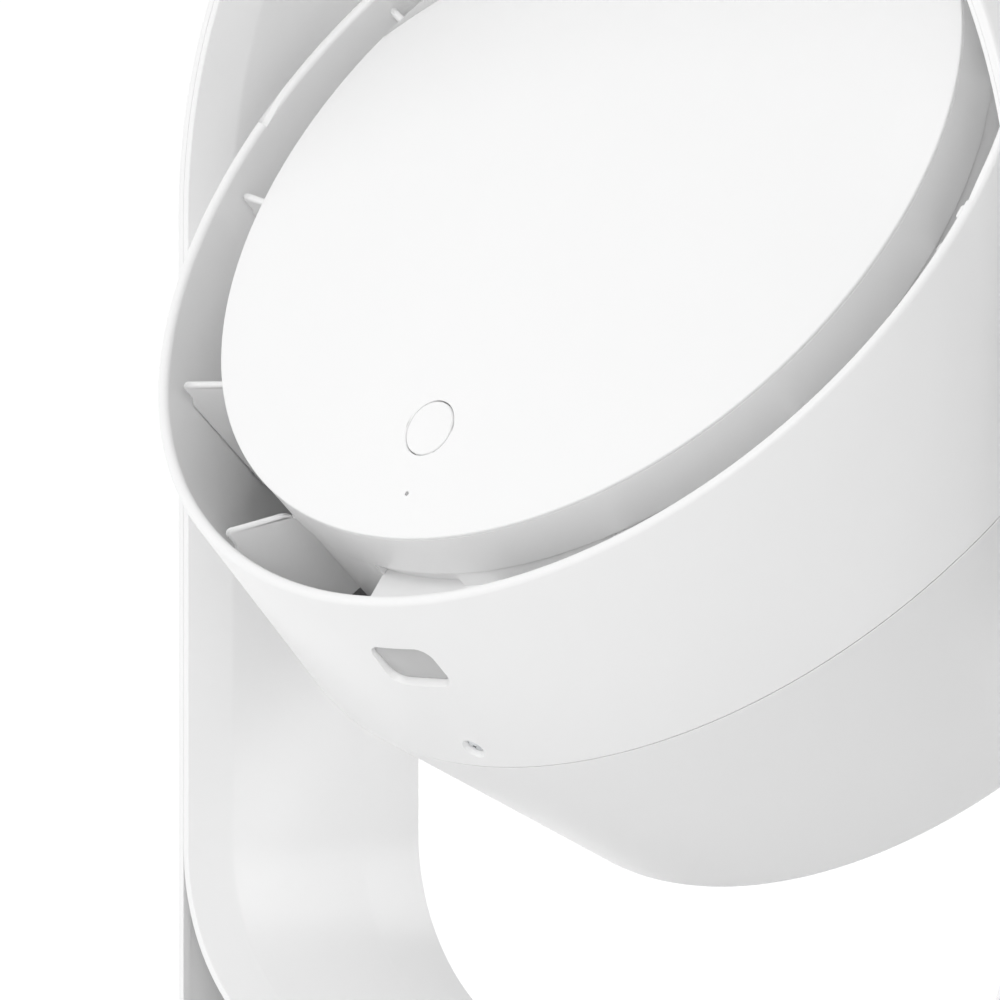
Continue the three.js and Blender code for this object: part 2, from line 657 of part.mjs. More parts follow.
/** Moves a shape drawn along +Z to point straight out of the drum, an angle from straight down. */
function radial(geometry, degrees, depth) {
  return geometry.rotateX(Math.PI / 2).rotateZ(radians(degrees)).translate(0, 0, LIP_Z - depth);
}

/** Ramp cut into the front of the lip: deep at its lower end, running out along the lip. */
function lipNotch(side) {
  const steps = 3;
  const inner = DUCT_RADIUS - JOIN;
  const outer = LIP_RADIUS - LIP_ROUND / 2;
  const turn = THREE.MathUtils.radToDeg(NOTCH_LENGTH / DUCT_RADIUS);
  const plan = [...arc([0, 0], outer, -90, turn - 90, steps), ...arc([0, 0], inner, turn - 90, -90, steps)];
  const ramp = prism(plan, -NOTCH_DEPTH, NOTCH_DEPTH);
  const places = ramp.getAttribute('position');
  for (let i = 0; i < places.count; i += 1) {
    const along = (Math.atan2(places.getY(i), places.getX(i)) + Math.PI / 2) / radians(turn);
    if (places.getZ(i) < 0) places.setZ(i, (NOTCH_DEPTH + RUN_OUT) * (along - 1) - RUN_OUT);
  }
  if (side < 0) ramp.scale(-1, 1, 1);
  return solid(ramp.rotateZ(radians(side * NOTCH_ANGLE)).translate(0, 0, LIP_Z));
}

/** Angles of the case screws, the first one straight down. */
function screwAngles() {
  return Array.from({ length: CASE_SCREW_COUNT }, (_, i) => (360 / CASE_SCREW_COUNT) * i);
}

/** Front shell: lip, side wall, pivot bosses, window recess and screw holes. */
function frontShell() {
  const rear = SEAM_DEPTH - SEAM_GAP / 2;
  const wall = solid(drumRing([
    [DUCT_RADIUS + LIP_ROUND, 0],
    [LIP_RADIUS - LIP_ROUND, 0],
    [caseRadius(LIP_ROUND), LIP_ROUND],
    [caseRadius(rear), rear],
    [TONGUE_OUTSIDE + GAP, rear],
    [TONGUE_OUTSIDE + GAP, LAP_DEPTH - GAP],
    [DUCT_RADIUS, LAP_DEPTH - GAP],
    [DUCT_RADIUS, LIP_ROUND],
  ]));
  const sides = [1, -1];
  const bosses = sides.map((side) => solid(sideways(
    rod(PIVOT_BOSS_RADIUS, SEAM_RADIUS - CASE_WALL, PIVOT_BOSS_FACE),
    side,
  )));
  const behindSeam = solid(box([-CUT_REACH, -CUT_REACH, REAR_FACE_Z], [CUT_REACH, CUT_REACH, LIP_Z - rear]));
  const insideBoss = solid(rod(TONGUE_OUTSIDE + GAP, REAR_FACE_Z, LIP_Z, ROUND));
  const pinHoles = sides.map((side) => solid(sideways(rod(PIN_RADIUS + GAP, HUB_RADIUS, CUT_REACH), side)));
  const floorZ = caseRadius(WINDOW_DEPTH) - WINDOW_RECESS - WINDOW_PLATE - GAP;
  const outline = roundedRectangle(WINDOW_WIDTH, WINDOW_LENGTH, WINDOW_CORNER, 4);
  const recess = solid(radial(prism(outline, floorZ, CUT_REACH), 0, WINDOW_DEPTH));
  const headSeat = caseRadius(CASE_SCREW_DEPTH) - CASE_WALL;
  const screwHoles = screwAngles().flatMap((angle) => [
    solid(radial(rod(CASE_SCREW_RADIUS + GAP, HUB_RADIUS, CUT_REACH, TINY_ROUND), angle, CASE_SCREW_DEPTH)),
    solid(radial(rod(CASE_SCREW_HEAD + GAP, headSeat, CUT_REACH, TINY_ROUND), angle, CASE_SCREW_DEPTH)),
  ]);
  const shell = join(wall, ...bosses.map((boss) => cut(boss, behindSeam, insideBoss)));
  return cut(shell, ...pinHoles, recess, ...screwHoles, lipNotch(1), lipNotch(-1));
}

/** Grey insert at the bottom of the window recess. */
function sensorWindow() {
  const low = caseRadius(WINDOW_DEPTH) - WINDOW_RECESS - WINDOW_PLATE;
  const fit = 2 * GAP;
  const outline = roundedRectangle(WINDOW_WIDTH - fit, WINDOW_LENGTH - fit, WINDOW_CORNER - GAP, 4);
  return solid(radial(prism(outline, low, low + WINDOW_PLATE), 0, WINDOW_DEPTH));
}

/** Cone behind the seam, with its tongue inside the front shell and a ledge for the grille. */
function rearShell() {
  const front = SEAM_DEPTH + SEAM_GAP / 2;
  const ledge = DRUM_DEPTH - GRILLE_THICKNESS - GAP;
  const turn = DRUM_DEPTH - REAR_EDGE_ROUND;
  const shell = solid(drumRing([
    [TONGUE_OUTSIDE, LAP_DEPTH],
    [TONGUE_OUTSIDE, front],
    [rearRadius(front), front],
    [rearRadius(turn), turn],
    [rearRadius(turn) - REAR_EDGE_ROUND * (1 - Math.SQRT1_2), turn + REAR_EDGE_ROUND * Math.SQRT1_2],
    [rearRadius(turn) - REAR_EDGE_ROUND, DRUM_DEPTH],
    [GRILLE_RADIUS + GAP, DRUM_DEPTH],
    [GRILLE_RADIUS + GAP, ledge],
    [GRILLE_RADIUS - GRILLE_LEDGE, ledge],
    [GRILLE_RADIUS - GRILLE_LEDGE, ledge - CASE_WALL],
    [rearRadius(turn) - CASE_WALL, ledge - CASE_WALL],
    [TONGUE_INSIDE, front],
    [TONGUE_INSIDE, LAP_DEPTH],
  ]));
  const holes = screwAngles().map((angle) => solid(
    radial(rod(CASE_SCREW_RADIUS + GAP, HUB_RADIUS, CUT_REACH, TINY_ROUND), angle, CASE_SCREW_DEPTH),
  ));
  const pinHoles = [1, -1].map((side) => solid(sideways(rod(PIN_RADIUS + GAP, HUB_RADIUS, CUT_REACH), side)));
  return cut(shell, ...holes, ...pinHoles);
}

/** Short screw through the lap of the two shells, an angle from straight down. */
function caseScrew(angle) {
  const seat = caseRadius(CASE_SCREW_DEPTH) - CASE_WALL + GAP;
  const profile = [
    [0, TONGUE_INSIDE - CASE_WALL],
    [CASE_SCREW_RADIUS, TONGUE_INSIDE - CASE_WALL],
    [CASE_SCREW_RADIUS, seat],
    [CASE_SCREW_HEAD, seat],
    [CASE_SCREW_HEAD, seat + SCREW_HEAD],
    [0, seat + SCREW_HEAD],
  ];
  return solid(radial(revolve(profile, TINY_ROUND), angle, CASE_SCREW_DEPTH));
}

/** Intake grille: a rim with level slats, tied by an upright rib. */
function rearGrille() {
  const low = REAR_FACE_Z;
  const high = low + GRILLE_THICKNESS;
  const reach = GRILLE_RADIUS - GRILLE_RIM / 2;
  const half = GRILLE_BAR / 2;
  const rim = solid(tube(GRILLE_RADIUS - GRILLE_RIM, GRILLE_RADIUS, low, high, ROUND));
  const slats = [];
  const count = Math.floor((GRILLE_RADIUS - GRILLE_RIM - half) / GRILLE_PITCH);
  for (let i = -count; i <= count; i += 1) {
    const y = i * GRILLE_PITCH;
    const x = Math.sqrt(reach ** 2 - y ** 2);
    slats.push(solid(box([-x, y - half, low + half / 2], [x, y + half, high - half / 2])));
  }
  const rib = solid(box([-half, -reach, low + half], [half, reach, high]));
  return join(rim, ...slats, rib);
}

/** Hollow pin that carries the drum on one side, with its flange inside the shell. */
function pivotPin(side) {
  const flangeFace = TONGUE_INSIDE * Math.cos(Math.asin(PIN_FLANGE_RADIUS / TONGUE_INSIDE)) - GAP;
  const end = HOOP_RADIUS - SHELL_SKIN - 2 * GAP;
  return solid(sideways(revolve([
    [PIN_BORE, flangeFace - PIN_FLANGE_THICKNESS],
    [PIN_FLANGE_RADIUS, flangeFace - PIN_FLANGE_THICKNESS],
    [PIN_FLANGE_RADIUS, flangeFace],
    [PIN_RADIUS, flangeFace],
    [PIN_RADIUS, end],
    [PIN_BORE, end],
    [PIN_BORE, flangeFace - PIN_FLANGE_THICKNESS],
  ], SMALL_ROUND), side));
}

// ---------------------------------------------------------------- front cover, vanes, button

/** Crescent between the cover's rim and a flatter arc below it, grown by a margin. */
function crescent(margin) {
  const outer = SKIRT_BORE + margin;
  const inner = SCOOP_ARC_RADIUS - margin;
  const meetY = (outer ** 2 - inner ** 2 + SCOOP_ARC_DROP ** 2) / (-2 * SCOOP_ARC_DROP);
  const outerStart = THREE.MathUtils.radToDeg(Math.asin(meetY / outer));
  const innerStart = THREE.MathUtils.radToDeg(Math.asin((meetY + SCOOP_ARC_DROP) / inner));
  const over = arc([0, 0], outer, outerStart, 180 - outerStart, 20);
  const back = arc([0, -SCOOP_ARC_DROP], inner, 180 - innerStart, innerStart, 20);
  return [...over, ...back.slice(1, -1)];
}

/** Frame of the button: on the dome, with its axis square to the surface. */
function buttonFrame() {
  const tilt = Math.asin(BUTTON_DROP / DOME_RADIUS);
  const frame = new THREE.Matrix4().makeRotationX(tilt);
  return frame.setPosition(0, -BUTTON_DROP, domeZ(BUTTON_DROP));
}

// Pin hole seen from the button: along the cover, and down with the fall of the dome.
const PIN_HOLE_Y = -PIN_HOLE_SPACING;
const PIN_HOLE_FALL = PIN_HOLE_Y ** 2 / (2 * DOME_RADIUS);

/** Domed cover with its skirt, crescent recess, button hole and pin hole. */
function frontCover() {
  const steps = 5;
  const face = Array.from({ length: steps + 1 }, (_, i) => {
    const radius = (COVER_RADIUS * i) / steps;
    return [radius, domeZ(radius)];
  });
  const rearZ = LIP_Z - SKIRT_DEPTH;
  const body = solid(revolve([...face, [COVER_RADIUS, rearZ], [0, rearZ]]));
  const ceiling = Array.from({ length: steps + 1 }, (_, i) => {
    const radius = (SKIRT_BORE * i) / steps;
    return [radius, domeZ(radius, DOME_RADIUS - COVER_WALL)];
  });
  const cavity = solid(revolve([...ceiling, [SKIRT_BORE, rearZ - JOIN], [0, rearZ - JOIN]]));
  const floorZ = RIM_Z - SCOOP_DEPTH;
  const over = RIM_Z + 2 * COVER_CROWN;
  const tray = solid(prism(crescent(SKIRT_WALL), floorZ - SKIRT_WALL, over));
  const opening = solid(prism(crescent(0), floorZ, over));
  const frame = buttonFrame();
  const inFrame = (geometry) => solid(geometry.applyMatrix4(frame));
  const standoffs = [-1, 1].map((side) => inFrame(
    rod(STANDOFF_RADIUS, GAP - BOARD_DROP, -COVER_WALL / 2, TINY_ROUND).translate(side * STANDOFF_X, 0, 0),
  ));
  const through = 2 * COVER_WALL;
  const buttonHole = inFrame(rod(BUTTON_RADIUS + RUN_GAP, -through, through));
  const pinHole = inFrame(rod(PIN_HOLE_RADIUS, -through, through, TINY_ROUND).translate(0, PIN_HOLE_Y, 0));
  const shell = cut(body, cut(cavity, tray), opening);
  return cut(join(shell, ...standoffs), buttonHole, pinHole);
}

/** Push button in its own frame: crowned cap, retaining collar and stem. */
function powerButton() {
  const collar = -COVER_WALL - GAP;
  const under = collar - BUTTON_FLANGE_THICKNESS;
  return solid(revolve([
    [0, BUTTON_CROWN],
    [BUTTON_RADIUS * 0.5, BUTTON_CROWN * 0.75],
    [BUTTON_RADIUS * 0.8, BUTTON_CROWN * 0.3],
    [BUTTON_RADIUS - BUTTON_EDGE * 0.6, -BUTTON_EDGE * 0.2],
    [BUTTON_RADIUS, -BUTTON_EDGE],
    [BUTTON_RADIUS, collar],
    [BUTTON_RADIUS + BUTTON_FLANGE, collar],
    [BUTTON_RADIUS + BUTTON_FLANGE, under],
    [BUTTON_STEM, under],
    [BUTTON_STEM, -BUTTON_LENGTH - BUTTON_STEM],
    [0, -BUTTON_LENGTH - BUTTON_STEM],
  ], SMALL_ROUND));
}

/** Switch under the button, on the control board. */
function powerSwitch() {
  const top = -BUTTON_LENGTH - BUTTON_STEM - BUTTON_TRAVEL - GAP;
  const low = GAP - BOARD_DROP;
  const half = SWITCH_SIZE / 2;
  const body = solid(box([-half, -half, low], [half, half, (low + top) / 2]));
  const plunger = solid(rod(BUTTON_STEM, (low + top) / 2 - JOIN, top, TINY_ROUND));
  return join(body, plunger);
}

/** Control board behind the button and the pin hole. */
function controlBoard() {
  const low = -BOARD_DROP - BOARD_THICKNESS;
  const y = PIN_HOLE_Y - 2 * LIGHT_PIPE_RADIUS;
  const board = solid(box([-BOARD_WIDTH / 2, y, low], [BOARD_WIDTH / 2, y + BOARD_LENGTH, -BOARD_DROP]));
  const chipX = BOARD_WIDTH / 4;
  const chip = solid(box(
    [chipX - CHIP_SIZE / 2, PIN_HOLE_Y / 2 - CHIP_SIZE / 2, low - CHIP_HEIGHT],
    [chipX + CHIP_SIZE / 2, PIN_HOLE_Y / 2 + CHIP_SIZE / 2, low + JOIN],
  ));
  return join(board, chip);
}

/** Light pipe from the board to the pin hole. */
function lightPipe() {
  const top = -PIN_HOLE_FALL - COVER_WALL - 2 * GAP;
  return solid(rod(LIGHT_PIPE_RADIUS, GAP - BOARD_DROP, top, TINY_ROUND).translate(0, PIN_HOLE_Y, 0));
}

/** Outline of one vane as a plate standing on the hub, in [radius, depth] pairs. */
function vaneOutline() {
  const skirt = COVER_RADIUS + GAP;
  const root = HUB_RADIUS - JOIN;
  const edge = DUCT_RADIUS + JOIN;
  const front = VANE_FRONT + VANE_FALL;
  return [
    [skirt, front],
    [edge, VANE_FRONT],
    [edge, VANE_REAR],
    [root, VANE_REAR],
    [root, SKIRT_DEPTH + HUB_LEAD],
    [skirt, SKIRT_DEPTH + HUB_LEAD],
  ].map(([radius, depth]) => new THREE.Vector2(radius, LIP_Z - depth));
}

/** Angles of the vanes from straight down. */
function vaneAngles() {
  const side = Array.from({ length: VANES_PER_SIDE }, (_, i) => VANE_FIRST + VANE_STEP * i);
  return [...side, 180, ...side.map((angle) => -angle)];
}

/** Hub wall with its floor, spigot, flow vanes and the wide cable boss. */
function vaneRing() {
  const spigot = SKIRT_BORE - GAP;
  const lead = SKIRT_DEPTH + HUB_LEAD;
  const hub = solid(drumRing([
    [spigot - SPIGOT_WALL, SPIGOT_FRONT],
    [spigot, SPIGOT_FRONT],
    [spigot, SKIRT_DEPTH + GAP],
    [HUB_RADIUS, SKIRT_DEPTH + GAP],
    [HUB_RADIUS, HUB_REAR],
    [MOTOR_OPENING, HUB_REAR],
    [MOTOR_OPENING, HUB_REAR - HUB_WALL],
    [HUB_RADIUS - HUB_WALL, HUB_REAR - HUB_WALL],
    [HUB_RADIUS - HUB_WALL, lead],
    [spigot - SPIGOT_WALL, lead],
  ]));
  const plate = () => prism(vaneOutline(), -VANE_THICKNESS / 2, VANE_THICKNESS / 2).rotateX(Math.PI / 2);
  const vanes = vaneAngles().map((angle) => solid(plate().rotateZ(radians(angle - 90))));
  const root = HUB_RADIUS - HUB_WALL / 2;
  const boss = solid(box(
    [-BOSS_WIDTH / 2, -DUCT_RADIUS - JOIN, LIP_Z - VANE_REAR],
    [BOSS_WIDTH / 2, -Math.sqrt(root ** 2 - (BOSS_WIDTH / 2) ** 2), LIP_Z - BOSS_FRONT],
  ));
  const outside = solid(rod(DUCT_RADIUS - GAP, REAR_FACE_Z, LIP_Z, ROUND));
  const inside = solid(rod(HUB_RADIUS - HUB_WALL, REAR_FACE_Z, LIP_Z, ROUND));
  return join(hub, cut(join(...vanes, boss).intersect(outside), inside));
}

// ---------------------------------------------------------------- motor, impeller, intake

/** Cup of the motor, with its flange on the hub floor and the front bearing's pocket. */
function motorHousing() {
  const pocket = BEARING_RADIUS + GAP;
  return solid(drumRing([
    [SHAFT_RADIUS + BOLT_EYE, MOTOR_FRONT],
    [MOTOR_RADIUS, MOTOR_FRONT],
    [MOTOR_RADIUS, MOTOR_REAR - MOTOR_FLANGE_THICKNESS],
    [MOTOR_FLANGE, MOTOR_REAR - MOTOR_FLANGE_THICKNESS],
    [MOTOR_FLANGE, MOTOR_REAR],
    [MOTOR_RADIUS - MOTOR_WALL, MOTOR_REAR],
    [MOTOR_RADIUS - MOTOR_WALL, MOTOR_FRONT + MOTOR_WALL],
    [pocket + MOTOR_WALL, MOTOR_FRONT + MOTOR_WALL],
    [pocket + MOTOR_WALL, STATOR_FRONT - GAP],
    [pocket, STATOR_FRONT - GAP],
    [pocket, MOTOR_FRONT + MOTOR_WALL],
    [SHAFT_RADIUS + BOLT_EYE, MOTOR_FRONT + MOTOR_WALL],
  ], SMALL_ROUND));
}

/** Rear cap of the motor, with the rear bearing's pocket. */
function motorEndCap() {
  const pocket = BEARING_RADIUS + GAP;
  const front = MOTOR_REAR - MOTOR_WALL;
  return solid(drumRing([
    [pocket, front - BEARING_WIDTH / 2],
    [pocket + MOTOR_WALL, front - BEARING_WIDTH / 2],
    [pocket + MOTOR_WALL, front],
    [MOTOR_RADIUS - MOTOR_WALL - GAP, front],
    [MOTOR_RADIUS - MOTOR_WALL - GAP, MOTOR_REAR],
    [SHAFT_RADIUS + BOLT_EYE, MOTOR_REAR],
    [SHAFT_RADIUS + BOLT_EYE, front + GAP],
    [pocket, front + GAP],
  ], SMALL_ROUND));
}

/** Depth of the front face of each ball bearing. */
function bearingFronts() {
  return [MOTOR_FRONT + MOTOR_WALL + GAP, MOTOR_REAR - MOTOR_WALL - BEARING_WIDTH];
}

/** Sealed ball bearing, drawn as its outer form. */
function ballBearing(front) {
  const outline = [
    [SHAFT_RADIUS + RUN_GAP, front],
    [BEARING_RADIUS, front],
    [BEARING_RADIUS, front + BEARING_WIDTH],
    [SHAFT_RADIUS + RUN_GAP, front + BEARING_WIDTH],
  ];
  return solid(drumRing(outline, SMALL_ROUND));
}

/** Wound stator ring with its slots towards the rotor. */
function motorStator() {
  const outside = MOTOR_RADIUS - MOTOR_WALL - GAP;
  const low = LIP_Z - STATOR_FRONT - STATOR_LENGTH;
  const high = LIP_Z - STATOR_FRONT;
  const ring = solid(tube(STATOR_BORE, outside, low, high));
  const half = STATOR_SLOT_WIDTH / 2;
  const slots = Array.from({ length: STATOR_SLOTS }, (_, i) => solid(
    box([STATOR_BORE - AIR_GAP, -half, low - JOIN], [outside - STATOR_YOKE, half, high + JOIN])
      .rotateZ(radians((360 / STATOR_SLOTS) * i)),
  ));
  return cut(ring, ...slots);
}

/** Rotor and shaft, one turning piece. */
function rotorShaft() {
  const drum = STATOR_BORE - AIR_GAP;
  return solid(revolve([
    [0, MOTOR_FRONT + GAP],
    [SHAFT_RADIUS, MOTOR_FRONT + GAP],
    [SHAFT_RADIUS, STATOR_FRONT + GAP],
    [drum, STATOR_FRONT + GAP],
    [drum, STATOR_FRONT + STATOR_LENGTH - BEARING_WIDTH],
    [SHAFT_RADIUS, STATOR_FRONT + STATOR_LENGTH - BEARING_WIDTH],
    [SHAFT_RADIUS, SHAFT_REAR],
    [0, SHAFT_REAR],
  ].map(([radius, depth]) => [radius, LIP_Z - depth]), SMALL_ROUND));
}

/** Plan outline of one backward-leaning blade. */
function bladeOutline() {
  const steps = 5;
  const spine = Array.from({ length: steps + 1 }, (_, i) => {
    const radius = BLADE_INNER + ((IMPELLER_RADIUS - JOIN - BLADE_INNER) * i) / steps;
    const angle = -radians(BLADE_SWEEP) * (i / steps) ** 0.9;
    return new THREE.Vector2(radius * Math.cos(angle), radius * Math.sin(angle));
  });
  const offset = (side) => spine.map((point, i) => {
    const before = spine[Math.max(i - 1, 0)];
    const after = spine[Math.min(i + 1, steps)];
    const along = after.clone().sub(before).normalize();
    const across = new THREE.Vector2(-along.y, along.x).multiplyScalar((side * BLADE_THICKNESS) / 2);
    return point.clone().add(across);
  });
  return [...offset(-1), ...offset(1).reverse()];
}

/** Centrifugal impeller: back plate with hub, blades and shroud. */
function impeller() {
  const plateRear = IMPELLER_FRONT + IMPELLER_PLATE;
  const shroudFront = IMPELLER_REAR - IMPELLER_PLATE;
  const back = solid(drumRing([
    [SHAFT_RADIUS + GAP, IMPELLER_FRONT],
    [IMPELLER_RADIUS, IMPELLER_FRONT],
    [IMPELLER_RADIUS, plateRear],
    [IMPELLER_HUB + IMPELLER_HUB_FLARE, plateRear],
    [IMPELLER_HUB, plateRear + IMPELLER_HUB_FLARE],
    [IMPELLER_HUB, IMPELLER_REAR - IMPELLER_HUB_SETBACK],
    [SHAFT_RADIUS + GAP, IMPELLER_REAR - IMPELLER_HUB_SETBACK],
  ], INNER_ROUND));
  const shroud = solid(drumRing([
    [IMPELLER_EYE, shroudFront],
    [IMPELLER_RADIUS, shroudFront],
    [IMPELLER_RADIUS, IMPELLER_REAR],
    [IMPELLER_EYE, IMPELLER_REAR],
  ], INNER_ROUND));
  const low = LIP_Z - shroudFront - JOIN;
  const high = LIP_Z - plateRear + JOIN;
  const blades = Array.from({ length: BLADE_COUNT }, (_, i) => solid(
    prism(bladeOutline(), low, high).rotateZ(radians((360 / BLADE_COUNT) * i)),
  ));
  return join(back, shroud, ...blades);
}

/** Nut that clamps the impeller on the shaft. */
function impellerNut() {
  const front = IMPELLER_REAR - IMPELLER_HUB_SETBACK + GAP;
  const high = LIP_Z - front;
  const low = high - NUT_LENGTH;
  return cut(solid(rod(NUT_RADIUS, low, high, 6)), solid(rod(SHAFT_RADIUS + GAP, low - JOIN, high + JOIN)));
}

/** Bell that leads the air from the grille into the impeller's eye. */
function inletBell() {
  const throat = IMPELLER_REAR + BELL_GAP;
  const length = BELL_REAR - throat;
  const mouth = GRILLE_RADIUS - GRILLE_LEDGE - BELL_MARGIN;
  const edge = rearRadius(BELL_REAR) - CASE_WALL - 2 * GAP;
  const steps = 4;
  const flare = (extra) => Array.from({ length: steps + 1 }, (_, i) => {
    const turn = radians((90 * i) / steps);
    const radius = BELL_THROAT + extra + (mouth - BELL_THROAT) * (1 - Math.cos(turn));
    return [radius, throat + (length - BELL_WALL) * Math.sin(turn) + (extra ? 0 : BELL_WALL * (i / steps))];
  });
  const inside = flare(0);
  const outside = flare(BELL_WALL).reverse();
  return solid(drumRing([...inside, [edge, BELL_REAR], [edge, BELL_REAR - BELL_WALL], ...outside], INNER_ROUND));
}

// ---------------------------------------------------------------- assembly

const fan = new THREE.Group();

fan.add(piece('hoop_shell', hoopShell(), WHITE_PLASTIC));
fan.add(piece('hoop_liner', hoopLiner(), WHITE_PLASTIC));
fan.add(piece('base_cover', baseCover(), WHITE_PLASTIC));
fan.add(piece('base_plate', basePlate(), GREY_PLASTIC));
fan.add(piece('base_weight', baseWeight(), STEEL));
footPlaces().forEach((place, i) => fan.add(piece(`rubber_foot_${i + 1}`, rubberFoot(place), RUBBER)));
screwPlaces().forEach((place, i) => fan.add(piece(`base_screw_${i + 1}`, baseScrew(place), STEEL)));
fan.add(piece('power_inlet', powerInlet(), DARK_PLASTIC));
fan.add(piece('driver_board', driverBoard(), BOARD_GREEN));
for (const [word, side] of [['left', -1], ['right', 1]]) {
  fan.add(piece(`pivot_bush_${word}`, pivotBush(side), DARK_PLASTIC));
  fan.add(piece(`friction_washer_${word}`, frictionWasher(side), DARK_PLASTIC));
  fan.add(piece(`hinge_plate_${word}`, hingePlate(side), STEEL));
}

const drum = new THREE.Group();
drum.position.z = PIVOT_HEIGHT;
drum.rotation.x = radians(90 - DRUM_ELEVATION);
fan.add(drum);

drum.add(piece('front_shell', frontShell(), WHITE_PLASTIC));
drum.add(piece('sensor_window', sensorWindow(), GREY_PLASTIC));
drum.add(piece('rear_shell', rearShell(), WHITE_PLASTIC));
screwAngles().forEach((angle, i) => drum.add(piece(`case_screw_${i + 1}`, caseScrew(angle), STEEL)));
drum.add(piece('rear_grille', rearGrille(), WHITE_PLASTIC));
drum.add(piece('pivot_pin_left', pivotPin(-1), STEEL));
drum.add(piece('pivot_pin_right', pivotPin(1), STEEL));
drum.add(piece('vane_ring', vaneRing(), WHITE_PLASTIC));
drum.add(piece('front_cover', frontCover(), WHITE_PLASTIC));
drum.add(piece('motor_housing', motorHousing(), STEEL));
drum.add(piece('motor_end_cap', motorEndCap(), STEEL));
drum.add(piece('motor_stator', motorStator(), COPPER));
const [frontBearing, rearBearing] = bearingFronts();
drum.add(piece('bearing_front', ballBearing(frontBearing), STEEL));
drum.add(piece('bearing_rear', ballBearing(rearBearing), STEEL));
drum.add(piece('inlet_bell', inletBell(), DARK_PLASTIC));
drum.add(piece('rotor_shaft', rotorShaft(), STEEL));
drum.add(piece('impeller', impeller(), DARK_PLASTIC));
drum.add(piece('impeller_nut', impellerNut(), STEEL));

const behindButton = new THREE.Group();
buttonFrame().decompose(behindButton.position, behindButton.quaternion, behindButton.scale);
drum.add(behindButton);
behindButton.add(piece('power_button', powerButton(), WHITE_PLASTIC));
behindButton.add(piece('power_switch', powerSwitch(), DARK_PLASTIC));
behindButton.add(piece('control_board', controlBoard(), BOARD_GREEN));
behindButton.add(piece('light_pipe', lightPipe(), CLEAR_GREY));

// The frame's origin lies under the middle of everything, front to back.
const extent = new THREE.Box3().setFromObject(fan, true);
fan.position.y = -(extent.min.y + extent.max.y) / 2;

export default fan;
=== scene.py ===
"""Bladeless fan: a round drum that tilts in a hoop stand, seen from in front and to its left.

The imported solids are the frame. The pieces that show are modelled over them with fine rounds,
and the pieces inside the drum and the base keep their solids and get their finishes here.
Sizes are in millimetres, and `metres` turns them into Blender's units.
"""

import json
import math

import bpy
from mathutils import Matrix, Vector

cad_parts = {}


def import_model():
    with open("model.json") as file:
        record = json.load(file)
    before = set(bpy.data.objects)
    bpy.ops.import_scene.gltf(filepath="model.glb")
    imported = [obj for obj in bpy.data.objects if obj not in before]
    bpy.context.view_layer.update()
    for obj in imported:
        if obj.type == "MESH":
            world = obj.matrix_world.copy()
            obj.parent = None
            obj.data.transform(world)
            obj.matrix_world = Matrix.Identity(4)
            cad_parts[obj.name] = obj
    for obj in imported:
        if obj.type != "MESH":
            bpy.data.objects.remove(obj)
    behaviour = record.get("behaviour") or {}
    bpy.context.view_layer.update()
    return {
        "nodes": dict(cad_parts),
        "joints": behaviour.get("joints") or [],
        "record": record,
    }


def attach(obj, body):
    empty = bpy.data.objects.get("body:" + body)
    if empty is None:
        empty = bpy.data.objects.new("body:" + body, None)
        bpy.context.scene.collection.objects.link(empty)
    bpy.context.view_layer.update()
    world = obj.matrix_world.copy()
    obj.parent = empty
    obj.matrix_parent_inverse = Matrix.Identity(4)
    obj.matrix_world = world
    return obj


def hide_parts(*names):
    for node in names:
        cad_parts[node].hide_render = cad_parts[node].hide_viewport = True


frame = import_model()

# ---------------------------------------------------------------- sizes

MM = 0.001
GAP = 0.3  # between pieces that touch
SIDES = 192  # of a large round
PAD_SIDES = 96  # of a pad or the button
SMALL_SIDES = 64  # of a screw or foot
TINY_SIDES = 32  # of the pin hole
WELD = 1e-6  # metres, points closer than this are one point
TOUCH = 0.01  # heights closer than this are the same height
OVERLAP = 1.0  # how far a joined or cutting shape runs into the other

# Stand
HOOP_DEPTH = 84.0
HOOP_THICKNESS = 8.0  # outside to the flat middle of the liner
HOOP_RADIUS = 148.4  # outside of the arch
ARCH_RISE = 24.4  # arch centre above the tilt axis
SHELL_SKIN = 2.6
FLANGE_REACH = 2.9
SHELL_EDGE = 2.0
LINER_GAP = 0.1
LINER_SEAT = FLANGE_REACH + LINER_GAP
LINER_EDGE = 1.5
LINER_EDGE_ROUND = 0.5
LINER_CREASE = 6.0  # rounding between the flat middle and the strips
LINER_LAP = 4.0
LINER_SKIN = 2.5
FRONT_MARGIN = 12.7  # sloped strip in front of the liner's flat middle
REAR_MARGIN = 24.3
FOOT_FILLET = 51.0
FLOOR_HEIGHT = 24.0
ARCH_TURNS = 96  # steps along the half circle of the hoop
FILLET_TURNS = 32

# Base
BASE_DEPTH = 190.0
BASE_CORNER = 50.0
BASE_TOP = 18.9
BASE_BOTTOM = 2.3
BASE_TOP_ROUND = 5.0
BASE_SKIN = 2.6
PLATE_LOW = 2.0
PLATE_TOP = 4.6
PLATE_EDGE = 0.4
FOOT_RADIUS = 10.0
FOOT_THICKNESS = 3.2
FOOT_INSET = 34.0
FOOT_EDGE = 1.0
GROOVE_RADIUS = 6.2  # of the ring groove in a foot's sole
GROOVE_WIDTH = 1.6
GROOVE_DEPTH = 0.6
GROOVE_SLOPE = 0.4
GROOVE_EDGE = 0.3
SCREW_X = 70.0
SCREW_Y = 76.0
SCREW_RADIUS = 1.5
SCREW_HEAD_RADIUS = 3.0
SCREW_HEAD = 1.4
SCREW_DOME = 0.2  # rise of a head's middle
SCREW_HEAD_DROP = 0.25
SCREW_HEAD_EDGE = 0.2
SCREW_TIP_EDGE = 0.3
SCREW_CROSS = 0.6  # reach and depth of its cross, as a share of its head
SCREW_SLOT = 0.23  # half width of the cross, as a share of its reach
